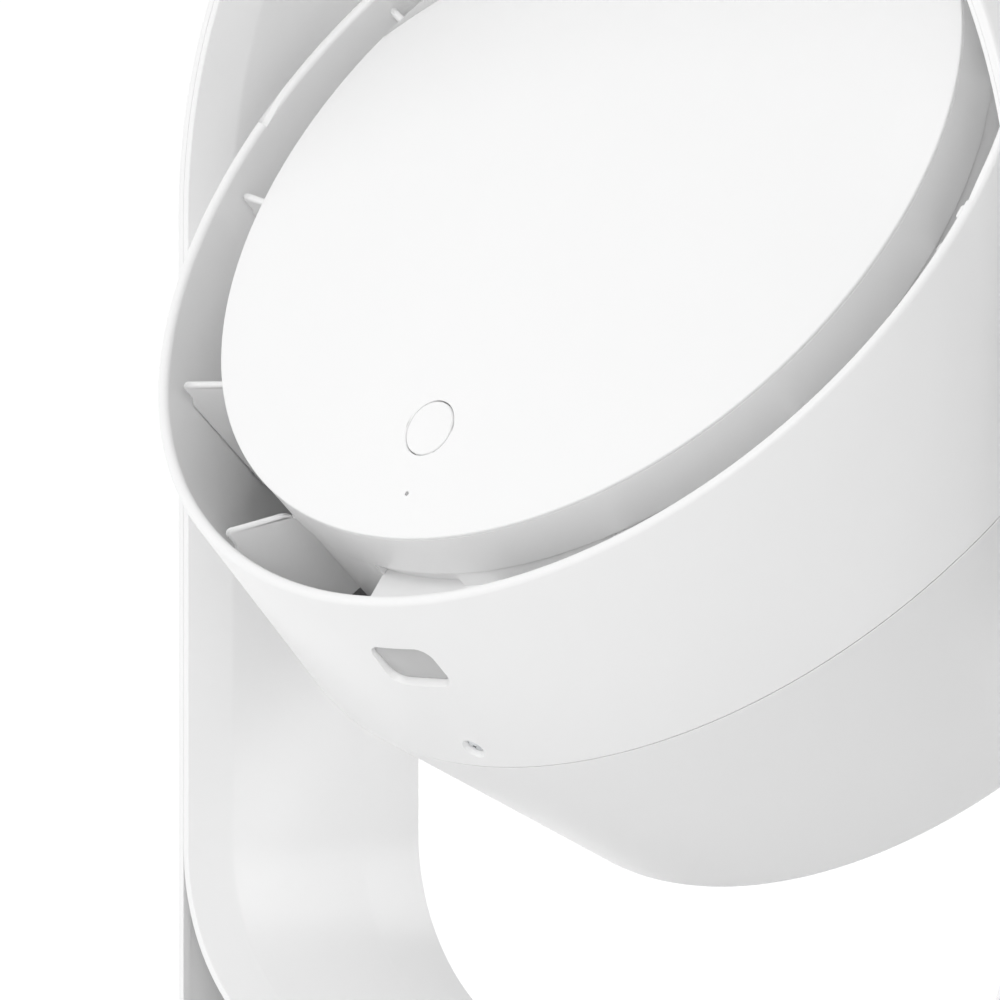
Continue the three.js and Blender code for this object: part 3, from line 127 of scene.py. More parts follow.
SCREW_BITE = 6.0
SOCKET_RADIUS = 3.3
SOCKET_COLLAR = 5.0
SOCKET_EDGE = 0.4
SOCKET_BODY = 13.0
SOCKET_DEPTH = 10.0

# Drum, depths counted backwards from the plane of the lip
DRUM_ELEVATION = 40.0  # degrees that the drum looks up at rest
PIVOT_DEPTH = 56.5
DUCT_RADIUS = 126.8
LIP_RADIUS = 130.0
LIP_ROUND = 1.5
SEAM_RADIUS = 133.5
SEAM_DEPTH = 63.0
SEAM_GAP = 0.3
SEAM_EDGE = 0.15
REAR_RADIUS = 109.5
DRUM_DEPTH = 146.0
REAR_EDGE_ROUND = 5.0
CASE_WALL = 2.4
CASE_TURN = 10.0  # degrees to a facet of the rear shell's roundings
LAP_DEPTH = 40.0
GRILLE_RADIUS = 99.0
GRILLE_THICKNESS = 3.0
GRILLE_LEDGE = 3.0
GRILLE_RIM = 5.0
GRILLE_PITCH = 7.0
GRILLE_BAR = 2.2
GRILLE_SEAT_EDGE = 0.6
GRILLE_BORE_EDGE = 0.8
SLAT_EDGE = 0.5
RIB_EDGE = 0.4
NOTCH_ANGLES = {-1: 97.3, 1: 91.6}  # from straight down to each notch's deep end, by side
NOTCH_LENGTH = 12.0
NOTCH_DEPTH = 1.4
NOTCH_END = 0.02  # depth where its ramp runs out
NUB_ANGLE = 90.4  # small bayonet stop inside the lip, on the fan's left hand side
NUB_LENGTH = 3.9
NUB_PROUD = 1.0
NUB_DEPTH = 4.0
NUB_EDGE = 0.7
NUB_SEAT = 0.6  # how far it stands behind the lip, and in the wall
WINDOW_WIDTH = 20.0
WINDOW_LENGTH = 13.5
WINDOW_CORNER = 4.0
WINDOW_DEPTH = 24.5
WINDOW_RECESS = 1.6
WINDOW_PLATE = 1.2
WINDOW_EDGE = 0.25
WINDOW_FLARE = 1.08  # how much wider the recess is at the casing's surface
CASE_SCREW_DEPTH = 56.0
CASE_SCREW_RADIUS = 1.2
CASE_SCREW_HEAD = 2.1
CASE_SCREW_COUNT = 3
CASE_SCREW_CROSS = 0.3  # size of its shallow cross, as a share of its head
COUNTERSINK_RADIUS = 3.3
COUNTERSINK_DEPTH = 1.4
PIVOT_BOSS_RADIUS = 16.0
PIVOT_BOSS_FACE = 136.6
PIVOT_BOSS_EDGE = 0.6
PIN_RADIUS = 6.5
BUSH_RADIUS = 10.0
WASHER_RADIUS = 15.0
WASHER_EDGE = 0.4

# Front cover and vane ring
COVER_RADIUS = 110.0
COVER_CROWN = 16.0
COVER_PROUD = 1.0
COVER_WALL = 2.4
COVER_EDGE = 0.6
SHADOW_LINE = 0.75  # fine groove round the cover, behind its rim
SHADOW_LINE_WIDTH = 0.6
SHADOW_LINE_DEPTH = 0.35
SHADOW_LINE_SLOPE = 0.1
SKIRT_STEP = 0.12  # the skirt below the groove stands back by this
SKIRT_WALL = 1.6
SKIRT_DEPTH = 14.0
SKIRT_EDGE = 0.4
SCOOP_ARC_RADIUS = 170.8
SCOOP_ARC_DROP = 86.6
SCOOP_TURN = 8.0  # degrees from the top to the crescent's middle, towards the fan's right
SCOOP_DEPTH = 11.0
SCOOP_RIM = 0.45  # width of the rim's flat edge beside the crescent
SCOOP_FLARE = 4.0  # depth over which the crescent's wall leans out to it
SCOOP_EDGE = 0.35
SCOOP_STEPS = 72  # along each of its arcs
ON_ARC = 0.05  # points closer than this to the dome or the crescent are on it
ON_HOLE = 0.15  # the same for the button's hole, which is oval in plan
HUB_RADIUS = 109.2
HUB_WALL = 2.2
HUB_REAR = 64.0
HUB_LEAD = 1.6
HUB_FRONT_EDGE = 0.3
HUB_REAR_EDGE = 2.0
POCKET = 1.9  # depth of the hub's recess over the cable boss
POCKET_INSET = 1.0  # from the boss's side to the start of the recess
POCKET_END = 8.9  # sideways from the middle to its end
SPIGOT_WALL = 2.2
MOTOR_OPENING = 41.0
VANE_FIRST = 31.5
VANE_STEP = 28.7
VANES_PER_SIDE = 5
VANE_THICKNESS = 2.0
VANE_FRONT = 4.5
VANE_FALL = 8.9
VANE_DIP = 1.8  # how much its inner end drops beside the skirt
VANE_REAR = 45.0
VANE_EDGE = 0.85
VANE_CLEAR = 1.1  # gap between a vane's free front end and the duct's wall
VANE_CORNER = 1.3
VANE_FREE = 6.0  # depth over which the front end stays free
BOSS_WIDTH = 42.6
BOSS_FRONT = 19.6
BOSS_EDGE = 0.6

# Button
BUTTON_DROP = 81.0
BUTTON_RADIUS = 7.4
BUTTON_CROWN = 0.5
BUTTON_DOME = ((0.4, 0.84), (0.7, 0.5))  # shares of its radius and of its crown
BUTTON_EDGE = 0.5
BUTTON_LENGTH = 4.4
BUTTON_FLANGE = 1.2
BUTTON_FLANGE_THICKNESS = 1.0
BUTTON_STEM = 2.2
RUN_GAP = 0.3
PIN_HOLE_SPACING = 18.0
PIN_HOLE_RADIUS = 0.65

# Places worked out from these
LIP_Z = PIVOT_DEPTH
RIM_Z = LIP_Z + COVER_PROUD
DOME_RADIUS = (COVER_RADIUS ** 2 + COVER_CROWN ** 2) / (2 * COVER_CROWN)
DOME_CENTRE_Z = RIM_Z + COVER_CROWN - DOME_RADIUS
SKIRT_BORE = COVER_RADIUS - SKIRT_WALL
HOOP_INSIDE = HOOP_RADIUS - HOOP_THICKNESS
SOCKET_HEIGHT = (PLATE_TOP + BASE_TOP - BASE_SKIN) / 2
OUTSIDE_CASE = SEAM_RADIUS + 20.0  # where cuts through the casing end

tilt_axis = Vector(next(j for j in frame["joints"] if j["name"] == "drum_tilt")["pos_m"])
PIVOT_HEIGHT = tilt_axis.z / MM
ARCH_Z = PIVOT_HEIGHT + ARCH_RISE
FILLET_X = HOOP_INSIDE - FOOT_FILLET
FILLET_Z = FLOOR_HEIGHT + FOOT_FILLET
stand_place = Matrix.Translation((0, tilt_axis.y, 0))
drum_lean = Matrix.Rotation(math.radians(90 - DRUM_ELEVATION), 4, "X")
drum_place = Matrix.Translation(tilt_axis) @ drum_lean


def metres(*sizes):
    """A vector in metres from sizes in millimetres."""
    return Vector(sizes) * MM


def shifted(x, y, z):
    """Matrix that moves a shape by millimetres."""
    return Matrix.Translation(metres(x, y, z))


def rotated(degrees, axis):
    """Matrix that turns a shape about an axis."""
    return Matrix.Rotation(math.radians(degrees), 4, axis)


def case_radius(depth):
    """Outside radius of the front shell at a depth behind the lip."""
    return LIP_RADIUS + (SEAM_RADIUS - LIP_RADIUS) * depth / SEAM_DEPTH


def rear_radius(depth):
    """Outside radius of the rear shell at a depth behind the lip."""
    share = (depth - SEAM_DEPTH) / (DRUM_DEPTH - SEAM_DEPTH)
    return SEAM_RADIUS - (SEAM_RADIUS - REAR_RADIUS) * share


def dome_z(radius, sphere=DOME_RADIUS):
    """Height of the cover's dome at a radius, in the drum's own frame."""
    return DOME_CENTRE_Z + math.sqrt(sphere ** 2 - radius ** 2)


TONGUE_OUTSIDE = case_radius(LAP_DEPTH) - CASE_WALL - GAP
TONGUE_INSIDE = TONGUE_OUTSIDE - CASE_WALL

# ---------------------------------------------------------------- drawing and shaping


def arc(centre, radius, start, end, steps):
    """Points along an arc, angles in degrees."""
    angles = [math.radians(start + (end - start) * i / steps) for i in range(steps + 1)]
    return [(centre[0] + radius * math.cos(a), centre[1] + radius * math.sin(a)) for a in angles]


def rounded(corners, turn=15.0):
    """A closed outline of (a, b) or (a, b, radius) corners, each turned to its radius."""
    outline = []
    for i, corner in enumerate(corners):
        here = Vector(corner[:2])
        if len(corner) == 2:
            outline.append(tuple(here))
            continue
        radius = corner[2]
        back = (Vector(corners[i - 1][:2]) - here).normalized()
        ahead = (Vector(corners[(i + 1) % len(corners)][:2]) - here).normalized()
        half = back.angle(ahead) / 2
        centre = here + (back + ahead).normalized() * radius / math.sin(half)
        spoke = here + back * radius / math.tan(half) - centre
        sweep = math.copysign(math.pi - 2 * half, ahead.cross(back))
        steps = max(2, round(abs(math.degrees(sweep)) / turn))
        for k in range(steps + 1):
            outline.append(tuple(centre + Matrix.Rotation(sweep * k / steps, 2) @ spoke))
    return outline


def rounded_rectangle(width, depth, corner, turn=7.5):
    """Outline of a rectangle with rounded corners, centred on the origin."""
    x, y = width / 2, depth / 2
    return rounded([(x, -y, corner), (x, y, corner), (-x, y, corner), (-x, -y, corner)], turn)


def edit(selected=True):
    """Opens the active piece for modelling, with all of it selected or none of it."""
    bpy.ops.object.mode_set(mode="EDIT")
    bpy.ops.mesh.select_mode(type="VERT")
    bpy.ops.mesh.select_all(action="SELECT" if selected else "DESELECT")


def closed_edit(outwards=True):
    """Welds the active piece's doubles, turns its faces outwards and closes the modelling."""
    bpy.ops.mesh.select_all(action="SELECT")
    bpy.ops.mesh.remove_doubles(threshold=WELD)
    if outwards:
        bpy.ops.mesh.normals_make_consistent(inside=False)
    bpy.ops.object.mode_set(mode="OBJECT")
    return bpy.context.active_object


def extrude(offset):
    """Extrudes what is selected by an offset in metres."""
    bpy.ops.mesh.extrude_region_move(TRANSFORM_OT_translate={"value": offset})


def draw(name, points, closed=True):
    """Starts a piece in edit mode as a line drawn point by point, with all of it selected."""
    bpy.ops.object.select_all(action="DESELECT")
    bpy.ops.mesh.primitive_plane_add(size=MM)
    piece = bpy.context.active_object
    piece.name = piece.data.name = name
    edit()
    bpy.ops.mesh.merge(type="CENTER")
    here = Vector(points[0])
    bpy.ops.transform.translate(value=here)
    for point in [*points[1:], *points[:1]] if closed else points[1:]:
        bpy.ops.mesh.extrude_vertices_move(TRANSFORM_OT_translate={"value": Vector(point) - here})
        here = Vector(point)
    bpy.ops.mesh.select_all(action="SELECT")
    bpy.ops.mesh.remove_doubles(threshold=WELD)
    return piece


def turned(name, profile, sides=SIDES, closed=True):
    """A round piece: a line of (radius, height) turned about the Z axis."""
    draw(name, [metres(radius, 0, height) for radius, height in profile], closed)
    bpy.ops.mesh.spin(steps=sides, angle=2 * math.pi, center=(0, 0, 0), axis=(0, 0, 1))
    return closed_edit()


def drum_ring(name, corners, turn=15.0, sides=SIDES):
    """A ring of the drum from (radius, depth behind the lip[, rounding]) corners."""
    outline = rounded([(corner[0], LIP_Z - corner[1], *corner[2:]) for corner in corners], turn)
    return turned(name, outline, sides)


def plate(name, outline, low, high):
    """A flat (x, y) outline raised from low to high."""
    draw(name, [metres(x, y, low) for x, y in outline])
    bpy.ops.mesh.edge_face_add()
    extrude(metres(0, 0, high - low))
    return closed_edit()


def rod(name, radius, low, high, edge=0.0, sides=SMALL_SIDES):
    """A plain rod along Z with an edge rounding at its top."""
    corner = (radius, high, edge) if edge else (radius, high)
    return turned(name, rounded([(0, low), (radius, low), corner, (0, high)]), sides)


def flared(name, outline, levels):
    """A flat outline raised through (height, scale) levels, scaled about the Z axis on its way."""
    low, size = levels[0]
    draw(name, [metres(x * size, y * size, low) for x, y in outline])
    bpy.ops.mesh.edge_face_add()
    for high, scale in levels[1:]:
        extrude(metres(0, 0, high - low))
        grow = scale / size
        bpy.ops.transform.resize(value=(grow, grow, 1), center_override=metres(0, 0, high))
        low, size = high, scale
    return closed_edit()


def block(name, low, high):
    """A box between two corners, for cuts."""
    low, high = metres(*low), metres(*high)
    bpy.ops.object.select_all(action="DESELECT")
    bpy.ops.mesh.primitive_cube_add(size=1, location=(low + high) / 2, scale=high - low)
    piece = bpy.context.active_object
    piece.name = piece.data.name = name
    bpy.ops.object.transform_apply(location=True, rotation=True, scale=True)
    return piece


def only(piece):
    """Makes one piece the whole selection."""
    if bpy.context.mode != "OBJECT":
        bpy.ops.object.mode_set(mode="OBJECT")
    bpy.ops.object.select_all(action="DESELECT")
    piece.select_set(True)
    bpy.context.view_layer.objects.active = piece
    return piece


def place(piece, matrix):
    """Moves a piece by a matrix and leaves its object at the origin."""
    only(piece).matrix_world = matrix
    bpy.ops.object.transform_apply(location=True, rotation=True, scale=True)
    return piece


def copied(piece, name, matrix):
    """A copy of a piece with its own mesh, moved by a matrix."""
    twin = piece.copy()
    twin.data = piece.data.copy()
    twin.name = twin.data.name = name
    bpy.context.collection.objects.link(twin)
    return place(twin, matrix)


def carve(piece, operation, *tools):
    """Joins, cuts or keeps what tools share with a piece, and uses the tools up."""
    for tool in tools:
        only(piece)
        change = piece.modifiers.new("carve", "BOOLEAN")
        change.operation = operation
        change.solver = "EXACT"
        change.object = tool
        bpy.ops.object.modifier_apply(modifier=change.name)
        bpy.data.objects.remove(tool)
    return piece


def cut(piece, *tools):
    """Takes tools away from a piece."""
    return carve(piece, "DIFFERENCE", *tools)


def join(piece, *tools):
    """Makes a piece and tools one shape."""
    return carve(piece, "UNION", *tools)


def pick_edges(piece, wanted):
    """Selects the edges whose two ends (in millimetres) pass a test."""
    only(piece)
    edit(selected=False)
    bpy.ops.object.mode_set(mode="OBJECT")
    ends = [vertex.co / MM for vertex in piece.data.vertices]
    for edge in piece.data.edges:
        edge.select = wanted(*(ends[i] for i in edge.vertices))
    bpy.ops.object.mode_set(mode="EDIT")
    bpy.ops.mesh.select_mode(type="EDGE")


def soften(piece, wanted, width, segments=3):
    """Rounds the edges that pass a test."""
    pick_edges(piece, wanted)
    bpy.ops.mesh.bevel(offset=width * MM, segments=segments, affect="EDGES")
    return closed_edit(outwards=False)


def radial(degrees, depth):
    """Matrix that stands a shape drawn along +Z straight out of the drum, from straight down."""
    return shifted(0, 0, LIP_Z - depth) @ rotated(degrees, "Z") @ rotated(90, "X")


def sideways(side):
    """Matrix that lays a shape drawn along +Z onto +X or -X."""
    return rotated(90 * side, "Y")


def socket_place():
    """Matrix that lays a shape drawn along +Z rearwards, at the height of the power inlet."""
    return shifted(0, 0, SOCKET_HEIGHT) @ rotated(-90, "X")


# ---------------------------------------------------------------- finishes


def linear(code):
    """An sRGB hex colour as the linear colour that a shader takes."""
    channels = [int(code[i:i + 2], 16) / 255 for i in (1, 3, 5)]
    return (*[c / 12.92 if c <= 0.04045 else ((c + 0.055) / 1.055) ** 2.4 for c in channels], 1.0)


def add(tree, kind, inputs=None, **settings):
    """Adds a node with its settings, and sets or links its inputs."""
    made = tree.nodes.new("ShaderNode" + kind)
    for name, value in settings.items():
        setattr(made, name, value)
    for socket, value in (inputs or {}).items():
        if isinstance(value, bpy.types.NodeSocket):
            tree.links.new(value, made.inputs[socket])
        else:
            made.inputs[socket].default_value = value
    return made


FACTOR, COLOUR_A, COLOUR_B, COLOUR_OUT = 0, 6, 7, 2  # sockets of a colour Mix node


def new_finish(name, **shader):
    """An empty material with a principled shader, and the coordinates its patterns read."""
    material = bpy.data.materials.new(name)
    material.use_nodes = True
    tree = material.node_tree
    tree.nodes.clear()
    surface = add(tree, "BsdfPrincipled", shader)
    add(tree, "OutputMaterial", {"Surface": surface.outputs["BSDF"]})
    place_on_piece = add(tree, "TexCoord").outputs["Object"]
    return material, tree, place_on_piece


def noise(tree, where, size, detail=3.0, stretch=(1, 1, 1)):
    """Noise whose blotches are about `size` millimetres across."""
    if stretch != (1, 1, 1):
        where = add(tree, "Mapping", {"Vector": where, "Scale": stretch}).outputs["Vector"]
    inputs = {"Vector": where, "Scale": 1 / (size * MM), "Detail": detail}
    return add(tree, "TexNoise", inputs).outputs["Fac"]


def between(tree, factor, low, high):
    """Spreads a 0 to 1 factor over a narrower range."""
    span = {"Value": factor, "To Min": low, "To Max": high}
    return add(tree, "MapRange", span).outputs["Result"]


def tinted(tree, factor, first, second):
    """Two sRGB hex colours mixed by a factor."""
    colours = {FACTOR: factor, COLOUR_A: linear(first), COLOUR_B: linear(second)}
    return add(tree, "Mix", colours, data_type="RGBA").outputs[COLOUR_OUT]


def relief(tree, height, depth):
    """Bump of a real depth in millimetres."""
    inputs = {"Height": height, "Distance": depth * MM, "Strength": 1.0}
    return add(tree, "Bump", inputs).outputs["Normal"]


def dress(material, colour, roughness, normal):
    """Links a colour, a gloss and a relief to a material's shader, and gives back the material."""
    surface = material.node_tree.nodes["Principled BSDF"]
    for socket, value in (("Base Color", colour), ("Roughness", roughness), ("Normal", normal)):
        material.node_tree.links.new(value, surface.inputs[socket])
    return material


def moulded_white_abs():
    """White ABS from a polished mould: an even satin gloss with the faintest orange peel."""
    material, tree, where = new_finish("moulded_white_abs", IOR=1.54)
    flow = noise(tree, where, 60.0, 2.0)
    peel = noise(tree, where, 2.4, 2.0)
    colour = tinted(tree, flow, "#f9f9f9", "#fbfbfb")
    return dress(material, colour, between(tree, peel, 0.27, 0.34), relief(tree, peel, 0.004))


def moulded_grey_window():
    """Tinted grey window: smooth, a little deeper in gloss than the casing."""
    material, tree, where = new_finish("moulded_grey_window", IOR=1.58)
    flow = noise(tree, where, 9.0, 2.0)
    peel = noise(tree, where, 1.6, 2.0)
    colour = tinted(tree, flow, "#bdbdbd", "#c2c2c2")
    return dress(material, colour, between(tree, flow, 0.3, 0.38), relief(tree, peel, 0.003))


def grained_grey_abs():
    """Grey ABS from a spark-eroded mould: a fine matt grain under the base."""
    material, tree, where = new_finish("grained_grey_abs", IOR=1.54)
    grain = noise(tree, where, 0.7, 4.0)
    colour = tinted(tree, noise(tree, where, 40.0), "#c4c4c2", "#cbcbc9")
    return dress(material, colour, between(tree, grain, 0.5, 0.66), relief(tree, grain, 0.03))


def black_nylon():
    """Dark glass-filled nylon: satin, with fibres that mottle the gloss."""
    material, tree, where = new_finish("black_nylon", IOR=1.53)
    fibres = noise(tree, where, 0.9, 5.0, (1, 1, 5))
    colour = tinted(tree, noise(tree, where, 14.0), "#2c2d2f", "#37393b")
    return dress(material, colour, between(tree, fibres, 0.42, 0.6), relief(tree, fibres, 0.012))


def smoked_acrylic():
    """Smoked acrylic light pipe: dark, clear gloss with a faint haze."""
    material, tree, where = new_finish("smoked_acrylic", IOR=1.49)
    haze = noise(tree, where, 3.0, 2.0)
    colour = tinted(tree, haze, "#3b3d40", "#4a4d50")
    return dress(material, colour, between(tree, haze, 0.08, 0.16), relief(tree, haze, 0.002))


def zinc_plated_steel():
    """Bright zinc on pressed steel: cool grey with soft cloudy spangle and fine drawing lines."""
    material, tree, where = new_finish("zinc_plated_steel", Metallic=1.0)
    cloud = noise(tree, where, 6.0, 4.0)
    lines = noise(tree, where, 0.5, 3.0, (1, 12, 1))
    colour = tinted(tree, cloud, "#b9bdc1", "#d0d2d3")
    return dress(material, colour, between(tree, cloud, 0.26, 0.44), relief(tree, lines, 0.006))


def turned_steel():
    """Turned steel pins, shaft and bearings: bright, with fine marks of the lathe tool."""
    material, tree, where = new_finish("turned_steel", Metallic=1.0)
    marks = noise(tree, where, 0.4, 2.0, (6, 1, 1))
    colour = tinted(tree, noise(tree, where, 10.0), "#c2c3c6", "#d3d4d6")
    return dress(material, colour, between(tree, marks, 0.16, 0.32), relief(tree, marks, 0.004))


def moulded_rubber():
    """Black rubber feet: dull, dusty on the high spots of a pebbled grain."""
    material, tree, where = new_finish("moulded_rubber", IOR=1.52)
    pebbles = noise(tree, where, 0.8, 3.0)
    colour = tinted(tree, pebbles, "#1f1f20", "#333334")
    return dress(material, colour, between(tree, pebbles, 0.72, 0.9), relief(tree, pebbles, 0.05))


def solder_masked_board():
    """Glass-epoxy board under green solder mask: copper tracks show as lighter, raised lanes."""
    material, tree, where = new_finish("solder_masked_board", IOR=1.55)
    lane = 3.0
    tracks = {
        "Vector": where,
        "Scale": 1 / (lane * MM),
        "Mortar Size": 0.12,
        "Color1": (1, 1, 1, 1),
        "Color2": (0.7, 0.7, 0.7, 1),
        "Mortar": (0, 0, 0, 1),
    }
    lanes = add(tree, "TexBrick", tracks).outputs["Color"]
    weave = noise(tree, where, 0.6, 2.0)
    colour = tinted(tree, lanes, "#0f4a2c", "#1f6a43")
    return dress(material, colour, between(tree, weave, 0.26, 0.4), relief(tree, lanes, 0.03))


def enamelled_copper():
    """Copper windings under clear enamel: warm rows of wire, drawn twice as coarse so they show."""
    material, tree, where = new_finish("enamelled_copper", Metallic=1.0)
    wire = 0.8
    bands = 6.3  # that a wave of scale 1 draws in two units
    rows = {"Vector": where, "Scale": 1 / (bands * wire * MM), "Distortion": 0.6, "Detail": 1.0}
    wires = add(tree, "TexWave", rows).outputs["Fac"]
    colour = tinted(tree, wires, "#8a4a22", "#c9814a")
    return dress(material, colour, between(tree, wires, 0.4, 0.24), relief(tree, wires, 0.2))


FINISHES = {
    "white_abs": moulded_white_abs(),
    "grey_window": moulded_grey_window(),
    "grey_plate": grained_grey_abs(),
    "dark_nylon": black_nylon(),
    "smoked_acrylic": smoked_acrylic(),
    "zinc_plated_steel": zinc_plated_steel(),
    "pivot_steel": turned_steel(),
    "rubber": moulded_rubber(),
    "circuit_board": solder_masked_board(),
    "stator_copper": enamelled_copper(),
}


def finish(piece, body, slot, node, smooth=30.0):
    """Smooths a piece, gives it its finish and hangs it on its body in place of a node."""
    only(piece)
    bpy.ops.object.shade_smooth_by_angle(angle=math.radians(smooth))
    piece.data.materials.clear()
    piece.data.materials.append(FINISHES[slot])
    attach(piece, body)
    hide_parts(node)
    return piece


# ---------------------------------------------------------------- stand


def swept_leg(name, section, bottom):
    """A section of (y, inset) pairs run up one leg, over the arch and down the other leg."""
    draw(name, [metres(HOOP_RADIUS - inset, y, bottom) for y, inset in section])
    rise = metres(0, 0, ARCH_Z - bottom)
    extrude(rise)
    bpy.ops.mesh.spin(steps=ARCH_TURNS, angle=math.pi, center=metres(0, 0, ARCH_Z), axis=(0, 1, 0))
    extrude(-rise)


def hoop_shell():
    """Arch and legs: a shallow channel with rounded front and rear edges."""
    edge = HOOP_DEPTH / 2
    lip = edge - SHELL_SKIN
    section = rounded([
        (-edge, FLANGE_REACH),
        (-edge, 0, SHELL_EDGE),
        (edge, 0, SHELL_EDGE),
        (edge, FLANGE_REACH),
        (lip, FLANGE_REACH),
        (lip, SHELL_SKIN),
        (-lip, SHELL_SKIN),
        (-lip, FLANGE_REACH),
    ])
    swept_leg("hoop_shell_skin", section, BASE_BOTTOM)
    bpy.ops.mesh.select_all(action="SELECT")
    bpy.ops.mesh.fill_holes(sides=0)
    piece = place(closed_edit(), stand_place)
    return finish(piece, "stand", "white_abs", "hoop_shell")


def hoop_liner():
    """Inside face of the hoop: a flat middle between two sloped strips, all round the opening."""
    edge = HOOP_DEPTH / 2
    section = rounded([
        (-edge, LINER_SEAT),
        (-edge, LINER_SEAT + LINER_EDGE, LINER_EDGE_ROUND),
        (FRONT_MARGIN - edge, HOOP_THICKNESS, LINER_CREASE),
        (edge - REAR_MARGIN, HOOP_THICKNESS, LINER_CREASE),
        (edge, LINER_SEAT + LINER_EDGE, LINER_EDGE_ROUND),
        (edge, LINER_SEAT),
        (edge - LINER_LAP, LINER_SEAT),
        (edge - REAR_MARGIN, HOOP_THICKNESS - LINER_SKIN),
        (FRONT_MARGIN - edge, HOOP_THICKNESS - LINER_SKIN),
        (LINER_LAP - edge, LINER_SEAT),
    ], turn=3.0)
    swept_leg("hoop_liner_band", section, FILLET_Z)
    quarter = {"steps": FILLET_TURNS, "angle": math.pi / 2, "axis": (0, 1, 0)}
    bpy.ops.mesh.spin(center=metres(-FILLET_X, 0, FILLET_Z), **quarter)
    extrude(metres(2 * FILLET_X, 0, 0))
    bpy.ops.mesh.spin(center=metres(FILLET_X, 0, FILLET_Z), **quarter)
    piece = closed_edit()
    lift = shifted(0, 0, PIVOT_HEIGHT)
    holes = [
        place(rod("hole", BUSH_RADIUS + GAP, SEAM_RADIUS, HOOP_RADIUS), lift @ sideways(side))
        for side in (1, -1)
    ]
    piece = place(cut(piece, *holes), stand_place)
    return finish(piece, "stand", "white_abs", "hoop_liner")


def is_level(height):
    """Test for edges that lie at one height."""
    return lambda a, b: abs(a.z - height) < TOUCH and abs(b.z - height) < TOUCH


def base_cover():
    """Cover of the base: rounded in plan and along its top edge, open below."""
    outline = rounded_rectangle(2 * HOOP_RADIUS, BASE_DEPTH, BASE_CORNER, turn=3.75)
    piece = plate("base_cover_shell", outline, BASE_BOTTOM, BASE_TOP)
    soften(piece, is_level(BASE_TOP), BASE_TOP_ROUND, segments=8)
    width = 2 * (HOOP_RADIUS - BASE_SKIN)
    inner = rounded_rectangle(width, BASE_DEPTH - 2 * BASE_SKIN, BASE_CORNER - BASE_SKIN)
    hollow = plate("hollow", inner, 0, BASE_TOP - BASE_SKIN)
    soften(hollow, is_level(BASE_TOP - BASE_SKIN), BASE_TOP_ROUND - BASE_SKIN, segments=4)
    slot_x = HOOP_RADIUS - SHELL_SKIN - GAP
    slot_y = HOOP_DEPTH / 2 + GAP
    far = 2 * HOOP_RADIUS
    slots = [
        block("slot", (slot_x, -slot_y, 0), (far, slot_y, 2 * BASE_TOP)),
        block("slot", (-far, -slot_y, 0), (-slot_x, slot_y, 2 * BASE_TOP)),
    ]
    socket = place(rod("socket", SOCKET_COLLAR + GAP, 0, BASE_DEPTH), socket_place())
    piece = place(cut(piece, hollow, *slots, socket), stand_place)
    return finish(piece, "stand", "white_abs", "base_cover")


def foot_places():
    """Centres of the four feet, in the order of their nodes."""
    x = HOOP_RADIUS - FOOT_INSET
    y = BASE_DEPTH / 2 - FOOT_INSET
    return [(-x, -y), (x, -y), (x, y), (-x, y)]


def screw_places():
    """Centres of the four base screws, in the order of their nodes."""
    return [(x * SCREW_X, y * SCREW_Y) for x in (-1, 1) for y in (-1, 1)]


def base_plate():
    """Plate under the base, with a seat for each foot and a sunk hole for each screw."""
    inset = BASE_SKIN + GAP
    width = 2 * (HOOP_RADIUS - inset)
    outline = rounded_rectangle(width, BASE_DEPTH - 2 * inset, BASE_CORNER - inset)
    piece = plate("base_plate_panel", outline, PLATE_LOW, PLATE_TOP)
    soften(piece, is_level(PLATE_LOW), PLATE_EDGE, segments=2)
    limit_x = HOOP_RADIUS - SHELL_SKIN - BASE_SKIN - 2 * GAP
    limit_y = HOOP_DEPTH / 2 + BASE_SKIN + 2 * GAP
    far = 2 * HOOP_RADIUS
    tools = [
        block("relief", (limit_x, -limit_y, 0), (far, limit_y, BASE_TOP)),
        block("relief", (-far, -limit_y, 0), (-limit_x, limit_y, BASE_TOP)),
    ]
    for x, y in foot_places():
        here = shifted(x, y, 0)
        tools.append(place(rod("seat", FOOT_RADIUS + GAP, 0, FOOT_THICKNESS + GAP), here))
    for x, y in screw_places():
        here = shifted(x, y, 0)
        sink = SCREW_HEAD_RADIUS + GAP
        tools.append(place(rod("sink", sink, 0, PLATE_LOW + SCREW_HEAD + GAP), here))
        tools.append(place(rod("hole", SCREW_RADIUS + GAP, 0, BASE_TOP), here))
    piece = place(cut(piece, *tools), stand_place)
    return finish(piece, "stand", "grey_plate", "base_plate")


def rubber_feet():
    """Four feet: low discs with a rounded rim and one ring groove in the sole."""
    outer = GROOVE_RADIUS + GROOVE_WIDTH
    sole = rounded([
        (0, 0),
        (GROOVE_RADIUS, 0, GROOVE_EDGE),
        (GROOVE_RADIUS + GROOVE_SLOPE, GROOVE_DEPTH, GROOVE_EDGE),
        (outer - GROOVE_SLOPE, GROOVE_DEPTH, GROOVE_EDGE),
        (outer, 0, GROOVE_EDGE),
        (FOOT_RADIUS, 0, FOOT_EDGE),
        (FOOT_RADIUS, FOOT_THICKNESS),
        (0, FOOT_THICKNESS),
    ])
    first = turned("foot", sole, SMALL_SIDES)
    for i, (x, y) in enumerate(foot_places(), 1):
        foot = copied(first, f"rubber_foot_disc_{i}", stand_place @ shifted(x, y, 0))
        finish(foot, "stand", "rubber", f"rubber_foot_{i}")
    bpy.data.objects.remove(first)


